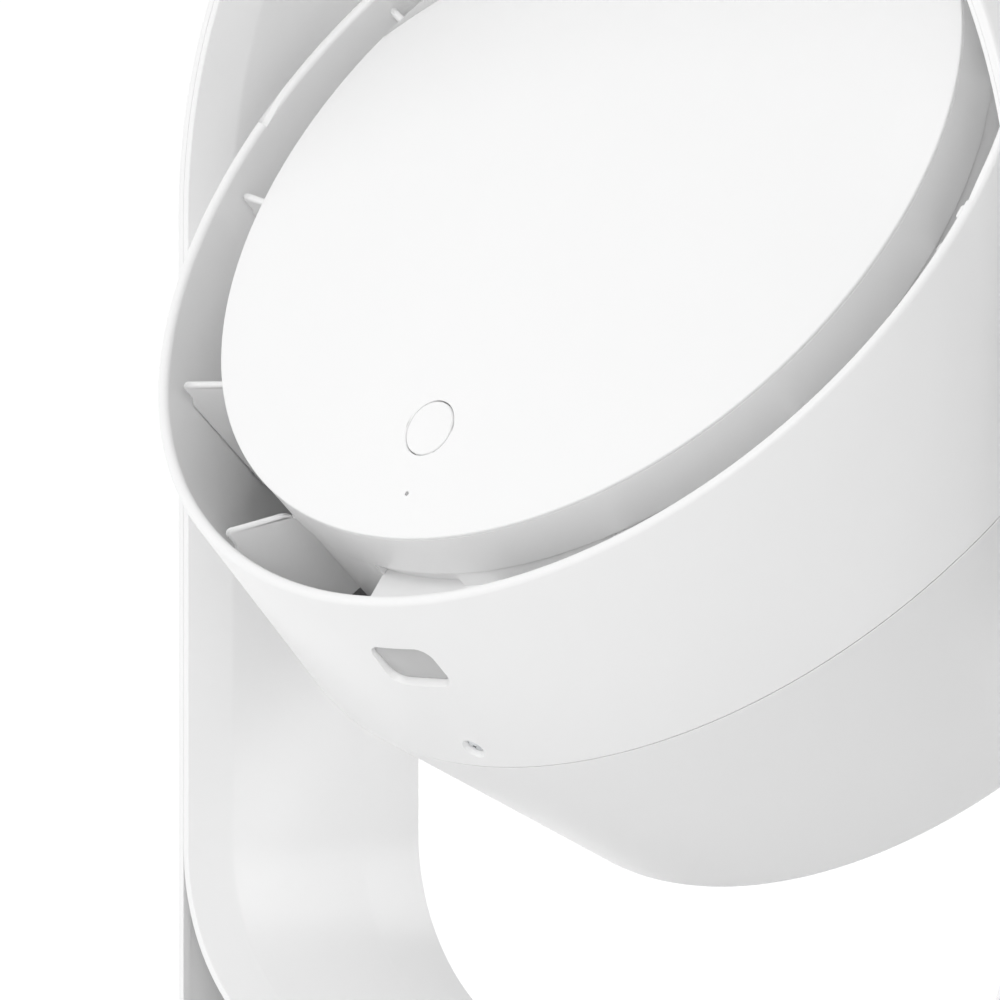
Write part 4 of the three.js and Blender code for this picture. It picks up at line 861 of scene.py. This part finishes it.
def crossed_screw(radius, head_radius, head, length, cross):
    """A screw that points up from a domed head at z = 0, with a cross recess in the head."""
    screw = turned("screw", rounded([
        (0, -SCREW_DOME),
        (head_radius / 2, -SCREW_DOME / 2),
        (head_radius, SCREW_HEAD_DROP, SCREW_HEAD_EDGE),
        (head_radius, head),
        (radius, head, SCREW_HEAD_EDGE),
        (radius, length, SCREW_TIP_EDGE),
        (0, length),
    ]), SMALL_SIDES)
    reach = head_radius * cross
    wide = reach * SCREW_SLOT
    deep = head * cross
    return cut(
        screw,
        block("slot", (-reach, -wide, -OVERLAP), (reach, wide, deep)),
        block("slot", (-wide, -reach, -OVERLAP), (wide, reach, deep)),
    )


def base_screws():
    """Four screws that hold the plate to the cover."""
    head = SCREW_HEAD - SCREW_DOME  # so that the dome ends level with the plate's face
    length = PLATE_TOP + SCREW_BITE - PLATE_LOW
    first = crossed_screw(SCREW_RADIUS, SCREW_HEAD_RADIUS, head, length, SCREW_CROSS)
    for i, (x, y) in enumerate(screw_places(), 1):
        here = stand_place @ shifted(x, y, PLATE_LOW + SCREW_DOME)
        screw = copied(first, f"base_screw_crossed_{i}", here)
        finish(screw, "stand", "zinc_plated_steel", f"base_screw_{i}")
    bpy.data.objects.remove(first)


def power_inlet():
    """Barrel inlet: a square body with a round collar through the rear wall of the base."""
    wall = BASE_DEPTH / 2 - BASE_SKIN - GAP
    mouth = BASE_DEPTH / 2
    half = SOCKET_BODY / 2
    low = PLATE_TOP + GAP
    high = BASE_TOP - BASE_SKIN - GAP
    body = block("power_inlet_barrel", (-half, wall - SOCKET_BODY, low), (half, wall, high))
    round_part = rod("collar", SOCKET_COLLAR, wall - OVERLAP, mouth, SOCKET_EDGE)
    collar = place(round_part, socket_place())
    drill = rod("bore", SOCKET_RADIUS, mouth - SOCKET_DEPTH, mouth + OVERLAP)
    bore = place(drill, socket_place())
    piece = place(cut(join(body, collar), bore), stand_place)
    return finish(piece, "stand", "dark_nylon", "power_inlet")


def friction_washers():
    """Washer on each side, between the drum's boss and the liner."""
    low = PIVOT_BOSS_FACE + GAP
    high = HOOP_INSIDE - GAP
    bore = PIN_RADIUS + RUN_GAP
    for side, name in ((1, "right"), (-1, "left")):
        ring = turned("friction_washer_disc_" + name, rounded([
            (bore, low),
            (WASHER_RADIUS, low, WASHER_EDGE),
            (WASHER_RADIUS, high, WASHER_EDGE),
            (bore, high),
        ]))
        place(ring, Matrix.Translation(tilt_axis) @ sideways(side))
        finish(ring, "stand", "dark_nylon", "friction_washer_" + name)


# ---------------------------------------------------------------- drum casing


def lip_notch(side):
    """Tool for the ramp cut into the lip: deep at its lower end, running out upwards."""
    half = NOTCH_LENGTH / 2
    ramp = [
        (-side * half, -NOTCH_DEPTH),
        (side * half, -NOTCH_END),
        (side * half, OVERLAP),
        (-side * half, OVERLAP),
    ]
    middle = NOTCH_ANGLES[side] + math.degrees(half / DUCT_RADIUS)
    tool = plate("notch", ramp, DUCT_RADIUS - OVERLAP, LIP_RADIUS - LIP_ROUND / 2)
    return place(tool, radial(side * middle, 0))


def lip_nub():
    """Small rounded bayonet stop inside the lip."""
    half = NUB_LENGTH / 2
    low = (-half, -NUB_DEPTH, DUCT_RADIUS - NUB_PROUD)
    piece = block("nub", low, (half, -NUB_SEAT, DUCT_RADIUS + NUB_SEAT))
    soften(piece, lambda a, b: True, NUB_EDGE, segments=4)
    return place(piece, radial(NUB_ANGLE, 0))


def pivot_boss(side):
    """Flat round pad that bears on the friction washer, cut off at the seam."""
    inside = SEAM_RADIUS - CASE_WALL
    pad = rod("boss", PIVOT_BOSS_RADIUS, inside, PIVOT_BOSS_FACE, PIVOT_BOSS_EDGE, PAD_SIDES)
    far = 2 * SEAM_RADIUS
    seam = block("seam", (-far, -far, -far), (far, far, LIP_Z - SEAM_DEPTH + SEAM_GAP / 2))
    return cut(place(pad, sideways(side)), seam)


def screw_angles():
    """Angles of the case screws, the first one straight down."""
    return [360 / CASE_SCREW_COUNT * i for i in range(CASE_SCREW_COUNT)]


def case_drills(name, radius, places):
    """Tools for round holes from inside the drum out through its casing."""
    return [place(rod(name, radius, HUB_RADIUS, OUTSIDE_CASE), here) for here in places]


def front_shell():
    """Casing in front of the seam, with its lip, pivot pads, window recess and screw holes."""
    rear = SEAM_DEPTH - SEAM_GAP / 2
    shell = drum_ring("front_shell_casing", [
        (DUCT_RADIUS, 0, LIP_ROUND),
        (LIP_RADIUS, 0, LIP_ROUND),
        (case_radius(rear), rear, SEAM_EDGE),
        (TONGUE_OUTSIDE + GAP, rear),
        (TONGUE_OUTSIDE + GAP, LAP_DEPTH - GAP),
        (DUCT_RADIUS, LAP_DEPTH - GAP),
    ])
    join(shell, *[pivot_boss(side) for side in (1, -1)], lip_nub())
    outline = rounded_rectangle(WINDOW_WIDTH, WINDOW_LENGTH, WINDOW_CORNER)
    mouth = case_radius(WINDOW_DEPTH)
    levels = [
        (mouth - WINDOW_RECESS - WINDOW_PLATE - GAP, 1),
        (mouth - WINDOW_RECESS, 1),
        (mouth, WINDOW_FLARE),
        (OUTSIDE_CASE, 2 * WINDOW_FLARE),  # wide of the casing, which curves away
    ]
    tools = [place(flared("recess", outline, levels), radial(0, WINDOW_DEPTH))]
    tools += case_drills("pin", PIN_RADIUS + GAP, [sideways(side) for side in (1, -1)])
    surface = case_radius(CASE_SCREW_DEPTH)
    bore = CASE_SCREW_HEAD + GAP
    for angle in screw_angles():
        out = radial(angle, CASE_SCREW_DEPTH)
        tools += case_drills("hole", CASE_SCREW_RADIUS + GAP, [out])
        tools.append(place(turned("head", [
            (0, surface - CASE_WALL),
            (bore, surface - CASE_WALL),
            (bore, surface - COUNTERSINK_DEPTH),
            (COUNTERSINK_RADIUS, surface),
            (COUNTERSINK_RADIUS, OUTSIDE_CASE),
            (0, OUTSIDE_CASE),
        ], SMALL_SIDES), out))
    tools += [lip_notch(side) for side in (1, -1)]
    cut(shell, *tools)
    return finish(place(shell, drum_place), "drum", "white_abs", "front_shell")


def sensor_window():
    """Grey insert at the bottom of the window recess."""
    low = case_radius(WINDOW_DEPTH) - WINDOW_RECESS - WINDOW_PLATE
    fit = 2 * GAP
    outline = rounded_rectangle(WINDOW_WIDTH - fit, WINDOW_LENGTH - fit, WINDOW_CORNER - GAP)
    piece = plate("sensor_window_insert", outline, low, low + WINDOW_PLATE)
    soften(piece, is_level(low + WINDOW_PLATE), WINDOW_EDGE, segments=2)
    place(piece, drum_place @ radial(0, WINDOW_DEPTH))
    return finish(piece, "drum", "grey_window", "sensor_window")


def rear_shell():
    """Cone behind the seam, with its tongue inside the front shell and a ledge for the grille."""
    front = SEAM_DEPTH + SEAM_GAP / 2
    ledge = DRUM_DEPTH - GRILLE_THICKNESS - GAP
    turn = DRUM_DEPTH - REAR_EDGE_ROUND
    shell = drum_ring("rear_shell_cone", [
        (TONGUE_OUTSIDE, LAP_DEPTH),
        (TONGUE_OUTSIDE, front),
        (rear_radius(front), front, SEAM_EDGE),
        (REAR_RADIUS, DRUM_DEPTH, REAR_EDGE_ROUND),
        (GRILLE_RADIUS + GAP, DRUM_DEPTH, GRILLE_SEAT_EDGE),
        (GRILLE_RADIUS + GAP, ledge),
        (GRILLE_RADIUS - GRILLE_LEDGE, ledge),
        (GRILLE_RADIUS - GRILLE_LEDGE, ledge - CASE_WALL),
        (rear_radius(turn) - CASE_WALL, ledge - CASE_WALL),
        (TONGUE_INSIDE, front),
        (TONGUE_INSIDE, LAP_DEPTH),
    ], CASE_TURN)
    pins = case_drills("pin", PIN_RADIUS + GAP, [sideways(side) for side in (1, -1)])
    screws = [radial(angle, CASE_SCREW_DEPTH) for angle in screw_angles()]
    cut(shell, *pins, *case_drills("hole", CASE_SCREW_RADIUS + GAP, screws))
    return finish(place(shell, drum_place), "drum", "white_abs", "rear_shell")


def case_screws():
    """Three short screws through the lap of the two shells."""
    seat = case_radius(CASE_SCREW_DEPTH) - CASE_WALL + GAP
    top = seat + SCREW_HEAD
    length = top - TONGUE_INSIDE + CASE_WALL - SCREW_DOME
    cross = CASE_SCREW_CROSS
    first = crossed_screw(CASE_SCREW_RADIUS, CASE_SCREW_HEAD, SCREW_HEAD, length, cross)
    inwards = shifted(0, 0, top - SCREW_DOME) @ rotated(180, "X")
    for i, angle in enumerate(screw_angles(), 1):
        here = drum_place @ radial(angle, CASE_SCREW_DEPTH) @ inwards
        screw = copied(first, f"case_screw_crossed_{i}", here)
        finish(screw, "drum", "zinc_plated_steel", f"case_screw_{i}")
    bpy.data.objects.remove(first)


def bar(name, low, high, edge):
    """A straight bar with its long edges rounded."""
    piece = block(name, low, high)
    long_way = max(range(3), key=lambda i: high[i] - low[i])
    return soften(piece, lambda a, b: abs(a[long_way] - b[long_way]) > edge, edge, segments=2)


def rear_grille():
    """Intake grille: a rim with level slats, tied by an upright rib."""
    low = LIP_Z - DRUM_DEPTH
    high = low + GRILLE_THICKNESS
    half = GRILLE_BAR / 2
    reach = GRILLE_RADIUS - GRILLE_RIM / 2
    grille = turned("rear_grille_slatted", rounded([
        (GRILLE_RADIUS - GRILLE_RIM, low, GRILLE_BORE_EDGE),
        (GRILLE_RADIUS, low, SLAT_EDGE),
        (GRILLE_RADIUS, high),
        (GRILLE_RADIUS - GRILLE_RIM, high),
    ]))
    count = math.floor((GRILLE_RADIUS - GRILLE_RIM - half) / GRILLE_PITCH)
    bars = []
    for i in range(-count, count + 1):
        y = i * GRILLE_PITCH
        x = math.sqrt(reach ** 2 - y ** 2)
        start = (-x, y - half, low + half / 2)
        bars.append(bar("slat", start, (x, y + half, high - half / 2), SLAT_EDGE))
    bars.append(bar("rib", (-half, -reach, low + half), (half, reach, high), RIB_EDGE))
    join(grille, *bars)
    return finish(place(grille, drum_place), "drum", "white_abs", "rear_grille")


# ---------------------------------------------------------------- cover, vanes, button


def crescent(margin):
    """Outline between the cover's rim and a flatter arc below it, grown by a margin."""
    outer = SKIRT_BORE + margin
    inner = SCOOP_ARC_RADIUS - margin
    meet_y = (outer ** 2 - inner ** 2 + SCOOP_ARC_DROP ** 2) / (-2 * SCOOP_ARC_DROP)
    outer_start = math.degrees(math.asin(meet_y / outer))
    inner_start = math.degrees(math.asin((meet_y + SCOOP_ARC_DROP) / inner))
    over = arc((0, 0), outer, outer_start, 180 - outer_start, SCOOP_STEPS)
    back = arc((0, -SCOOP_ARC_DROP), inner, 180 - inner_start, inner_start, SCOOP_STEPS)
    return [*over, *back[1:-1]]


def button_place():
    """Frame of the button: on the dome, with its axis square to the surface."""
    lean = math.asin(BUTTON_DROP / DOME_RADIUS)
    here = shifted(0, -BUTTON_DROP, dome_z(BUTTON_DROP))
    return here @ Matrix.Rotation(lean, 4, "X")


def dome_line(edge, sphere, steps=24):
    """Points of a dome from the axis out to a radius."""
    radii = [edge * i / steps for i in range(steps + 1)]
    return [(radius, dome_z(radius, sphere)) for radius in radii]


def front_cover():
    """Domed cover with a shadow line, a crescent recess, and holes for the button and the light."""
    rear = LIP_Z - SKIRT_DEPTH
    line = RIM_Z - SHADOW_LINE
    rim = rounded([
        (0, dome_z(0)),
        *dome_line(COVER_RADIUS, DOME_RADIUS)[1:-1],
        (COVER_RADIUS, RIM_Z, COVER_EDGE),
        (COVER_RADIUS, line),
        (COVER_RADIUS - SHADOW_LINE_DEPTH, line - SHADOW_LINE_SLOPE),
        (COVER_RADIUS - SHADOW_LINE_DEPTH, line - SHADOW_LINE_WIDTH / 2),
        (COVER_RADIUS - SKIRT_STEP, line - SHADOW_LINE_WIDTH),
        (COVER_RADIUS - SKIRT_STEP, rear, SKIRT_EDGE),
        (0, rear),
    ])
    body = turned("front_cover_dome", rim)
    ceiling = dome_line(SKIRT_BORE, DOME_RADIUS - COVER_WALL)
    behind = rear - OVERLAP
    cavity = turned("cavity", [*ceiling, (SKIRT_BORE, behind), (0, behind)])
    floor = RIM_Z - SCOOP_DEPTH
    over = RIM_Z + 2 * COVER_CROWN
    turn = rotated(SCOOP_TURN, "Z")
    cut(cavity, place(plate("tray", crescent(SKIRT_WALL), floor - SKIRT_WALL, over), turn))
    on_dome = button_place()
    through = 2 * COVER_WALL
    bore = rod("hole", BUTTON_RADIUS + RUN_GAP, -through, through, sides=PAD_SIDES)
    hole = place(bore, on_dome)
    pin_bore = rod("pin", PIN_HOLE_RADIUS, -through, through, sides=TINY_SIDES)
    pin_hole = place(pin_bore, on_dome @ shifted(0, -PIN_HOLE_SPACING, 0))
    thin = (COVER_RADIUS - SCOOP_RIM) / SKIRT_BORE
    levels = [(floor, 1), (RIM_Z - SCOOP_FLARE, 1), (RIM_Z, thin), (over, thin)]
    cut(body, cavity, place(flared("opening", crescent(0), levels), turn), hole, pin_hole)
    arc_centre = turn @ Vector((0, -SCOOP_ARC_DROP * thin, 0))

    def on_edge(point):
        """Whether a point lies on the dome, at the edge of the crescent or of the button's hole."""
        from_axis = math.hypot(point.x, point.y)
        if abs(point.z - dome_z(min(from_axis, COVER_RADIUS))) > ON_ARC:
            return False
        from_arc = abs((point - arc_centre).to_2d().length - SCOOP_ARC_RADIUS * thin)
        from_button = abs(math.hypot(point.x, point.y + BUTTON_DROP) - BUTTON_RADIUS - RUN_GAP)
        return (point.y > 0 and from_arc < ON_ARC) or from_button < ON_HOLE

    soften(body, lambda a, b: on_edge(a) and on_edge(b), SCOOP_EDGE)
    return finish(place(body, drum_place), "drum", "white_abs", "front_cover")


def vane(angle):
    """One flow vane: a thin plate whose rounded front edge falls back to the cover's skirt."""
    skirt = COVER_RADIUS + GAP
    inner = LIP_Z - VANE_FRONT - VANE_FALL
    free = DUCT_RADIUS - VANE_CLEAR
    front = rounded([
        (skirt, inner - VANE_DIP),
        (skirt + VANE_DIP, inner + VANE_FALL * VANE_DIP / (free - skirt), VANE_DIP / 2),
        (free, LIP_Z - VANE_FRONT, VANE_CORNER),
        (free, LIP_Z - VANE_FRONT - VANE_FREE),
    ])
    outline = [
        *front,
        (DUCT_RADIUS - GAP, LIP_Z - VANE_FRONT - VANE_FREE - VANE_CLEAR),
        (DUCT_RADIUS - GAP, LIP_Z - VANE_REAR),
        (HUB_RADIUS - OVERLAP, LIP_Z - VANE_REAR),
        (HUB_RADIUS - OVERLAP, LIP_Z - SKIRT_DEPTH - HUB_LEAD),
        (skirt, LIP_Z - SKIRT_DEPTH - HUB_LEAD),
    ]
    half = VANE_THICKNESS / 2
    piece = plate("vane", outline, -half, half)

    def on_front(a, b):
        """Whether an edge runs along one side of the vane's front."""
        level = abs(abs(a.z) - half) < TOUCH and abs(a.z - b.z) < TOUCH
        return level and min(a.y, b.y) > inner - VANE_DIP + TOUCH

    soften(piece, on_front, VANE_EDGE, segments=5)
    return place(piece, rotated(angle - 90, "Z") @ rotated(90, "X"))


def vane_angles():
    """Angles of the vanes from straight down."""
    side = [VANE_FIRST + VANE_STEP * i for i in range(VANES_PER_SIDE)]
    return [*side, 180, *[-angle for angle in side]]


def vane_ring():
    """Hub wall with its floor and spigot, the flow vanes and the wide cable boss."""
    spigot = SKIRT_BORE - GAP
    lead = SKIRT_DEPTH + HUB_LEAD
    hub = drum_ring("vane_ring_hub", [
        (spigot - SPIGOT_WALL, SCOOP_DEPTH + SKIRT_WALL - COVER_PROUD + GAP),
        (spigot, SCOOP_DEPTH + SKIRT_WALL - COVER_PROUD + GAP),
        (spigot, SKIRT_DEPTH + GAP),
        (HUB_RADIUS, SKIRT_DEPTH + GAP, HUB_FRONT_EDGE),
        (HUB_RADIUS, HUB_REAR, HUB_REAR_EDGE),
        (MOTOR_OPENING, HUB_REAR),
        (MOTOR_OPENING, HUB_REAR - HUB_WALL),
        (HUB_RADIUS - HUB_WALL, HUB_REAR - HUB_WALL),
        (HUB_RADIUS - HUB_WALL, lead),
        (spigot - SPIGOT_WALL, lead),
    ])
    root = HUB_RADIUS - HUB_WALL / 2
    half = BOSS_WIDTH / 2
    face = LIP_Z - BOSS_FRONT
    behind = LIP_Z - DRUM_DEPTH
    low = (-half, -DUCT_RADIUS - OVERLAP, LIP_Z - VANE_REAR)
    boss = block("boss", low, (half, -math.sqrt(root ** 2 - half ** 2), face))
    carve(boss, "INTERSECT", rod("duct", DUCT_RADIUS - GAP, behind, LIP_Z, sides=SIDES))
    soften(boss, is_level(face), BOSS_EDGE)
    cut(boss, rod("inside", root, behind, LIP_Z, sides=SIDES))
    pocket = block("pocket", (POCKET_INSET - half, -DUCT_RADIUS, face), (POCKET_END, -half, LIP_Z))
    cut(pocket, rod("core", HUB_RADIUS - POCKET, behind, 2 * LIP_Z, sides=SIDES))
    cut(hub, pocket)
    join(hub, boss, *[vane(angle) for angle in vane_angles()])
    return finish(place(hub, drum_place), "drum", "white_abs", "vane_ring")


def power_button():
    """Push button: a slightly crowned cap, with its collar and stem behind the cover."""
    collar = -COVER_WALL - GAP
    under = collar - BUTTON_FLANGE_THICKNESS
    stem = -BUTTON_LENGTH - BUTTON_STEM
    piece = turned("power_button_cap", rounded([
        (0, BUTTON_CROWN),
        *[(BUTTON_RADIUS * out, BUTTON_CROWN * up) for out, up in BUTTON_DOME],
        (BUTTON_RADIUS, 0, BUTTON_EDGE),
        (BUTTON_RADIUS, collar),
        (BUTTON_RADIUS + BUTTON_FLANGE, collar),
        (BUTTON_RADIUS + BUTTON_FLANGE, under),
        (BUTTON_STEM, under),
        (BUTTON_STEM, stem),
        (0, stem),
    ]), PAD_SIDES)
    place(piece, drum_place @ button_place())
    return finish(piece, "button", "white_abs", "power_button")


# ---------------------------------------------------------------- solids kept from the frame


def dress_kept_solids():
    """Gives every solid of the frame the finish of its slot."""
    slots = {row["node"]: row["material_slot"] for row in frame["record"]["subparts"]}
    for name, node in frame["nodes"].items():
        node.data.materials.clear()
        node.data.materials.append(FINISHES[slots[name]])


# ---------------------------------------------------------------- camera, light and floor

CAMERA_AZIMUTH = 44.2  # degrees to the fan's left hand side from straight in front
CAMERA_ELEVATION = 3.5
LENS = 1500.0  # from so far away, the view is nearly parallel
SENSOR = 36.0
FRAME_PIXELS = 1000
MM_PER_PIXEL = 0.25194  # at the tilt axis
AIM_RIGHT = -53.24  # middle of the picture from the middle of the tilt axis
AIM_UP = -42.83
CLIP_REACH = 4.0  # of the camera, in distances to the fan


def viewer_axes():
    """Right, up and backward directions of the camera."""
    a = math.radians(CAMERA_AZIMUTH)
    e = math.radians(CAMERA_ELEVATION)
    back = Vector((math.sin(a) * math.cos(e), -math.cos(a) * math.cos(e), math.sin(e)))
    right = Vector((math.cos(a), math.sin(a), 0))
    return right, back.cross(right), back


def camera():
    """Camera at the photograph's angle, with a long lens."""
    right, up, back = viewer_axes()
    aim = tilt_axis + right * AIM_RIGHT * MM + up * AIM_UP * MM
    distance = FRAME_PIXELS * MM_PER_PIXEL * LENS / SENSOR * MM
    bpy.ops.object.camera_add()
    eye = bpy.context.active_object
    eye.name = "camera"
    eye.data.lens = LENS
    eye.data.sensor_width = SENSOR
    eye.data.clip_end = CLIP_REACH * distance
    turn = Matrix((right, up, back)).transposed().to_4x4()
    eye.matrix_world = Matrix.Translation(aim + back * distance) @ turn
    bpy.context.scene.camera = eye


def lamp(name, place_from_view, size, watts):
    """A large soft lamp, placed by metres right, up and back from the fan and aimed at it."""
    right, up, back = viewer_axes()
    sideways_m, up_m, back_m = place_from_view
    offset = right * sideways_m + up * up_m + back * back_m
    bpy.ops.object.light_add(type="AREA", location=tilt_axis + offset)
    light = bpy.context.active_object
    light.name = name
    light.data.shape = "DISK"
    light.data.size = size
    light.data.energy = watts
    light.rotation_euler = offset.to_track_quat("Z", "Y").to_euler()


WORLD_LEFT = 1.12  # strength of the light from the viewer's left
WORLD_RIGHT = 0.14
WHITE = (1, 1, 1, 1)
FLOOR_SIZE = 40.0  # metres
FLOOR_COLOUR = "#fafafa"
FLOOR_GLOW = 0.45  # that the camera, gloss and glass see, but that lights nothing


def world():
    """Soft light, stronger from the left, and white where the camera, gloss or glass sees it."""
    sky = bpy.data.worlds.new("studio")
    bpy.context.scene.world = sky
    sky.use_nodes = True
    tree = sky.node_tree
    tree.nodes.clear()
    seen = seen_directly(tree)
    right = viewer_axes()[0]
    ray = add(tree, "TexCoord").outputs["Generated"]
    across = add(tree, "VectorMath", {0: ray, 1: tuple(right)}, operation="DOT_PRODUCT")
    span = {
        "Value": across.outputs["Value"],
        "From Min": -1,
        "From Max": 1,
        "To Min": WORLD_LEFT,
        "To Max": WORLD_RIGHT,
    }
    strength = add(tree, "MapRange", span).outputs["Result"]
    soft = add(tree, "Background", {"Color": WHITE, "Strength": strength})
    white = add(tree, "Background", {"Color": WHITE, "Strength": 1.0})
    mixed = add(tree, "MixShader", {0: seen, 1: soft.outputs[0], 2: white.outputs[0]})
    add(tree, "OutputWorld", {"Surface": mixed.outputs[0]})


def seen_directly(tree):
    """1 for rays from the camera or from gloss and glass."""
    rays = add(tree, "LightPath")
    seen = rays.outputs["Is Camera Ray"]
    for kind in ("Is Glossy Ray", "Is Transmission Ray"):
        either = {0: seen, 1: rays.outputs[kind]}
        seen = add(tree, "Math", either, operation="MAXIMUM").outputs[0]
    return seen


def studio_floor():
    """Plain pale floor that keeps the fan's shadow."""
    bpy.ops.object.select_all(action="DESELECT")
    bpy.ops.mesh.primitive_plane_add(size=FLOOR_SIZE)
    floor = bpy.context.active_object
    floor.name = "floor"
    material = bpy.data.materials.new("floor_paper")
    material.use_nodes = True
    tree = material.node_tree
    tree.nodes.clear()
    paper = add(tree, "BsdfDiffuse", {"Color": linear(FLOOR_COLOUR)})
    glow = add(tree, "Emission", {"Color": WHITE, "Strength": FLOOR_GLOW})
    lit = add(tree, "AddShader", {0: paper.outputs[0], 1: glow.outputs[0]})
    seen = seen_directly(tree)
    mixed = add(tree, "MixShader", {0: seen, 1: paper.outputs[0], 2: lit.outputs[0]})
    add(tree, "OutputMaterial", {"Surface": mixed.outputs[0]})
    floor.data.materials.append(material)


# ---------------------------------------------------------------- the whole fan

dress_kept_solids()
hoop_shell()
hoop_liner()
base_cover()
base_plate()
rubber_feet()
base_screws()
power_inlet()
friction_washers()
front_shell()
sensor_window()
rear_shell()
case_screws()
rear_grille()
front_cover()
vane_ring()
power_button()

camera()
world()
studio_floor()
lamp("front_key", (-0.8, 0.8, 2.2), size=1.6, watts=14.0)
lamp("side_fill", (2.2, 0.0, -0.7), size=2.4, watts=27.0)
bpy.context.scene.view_settings.view_transform = "Standard"
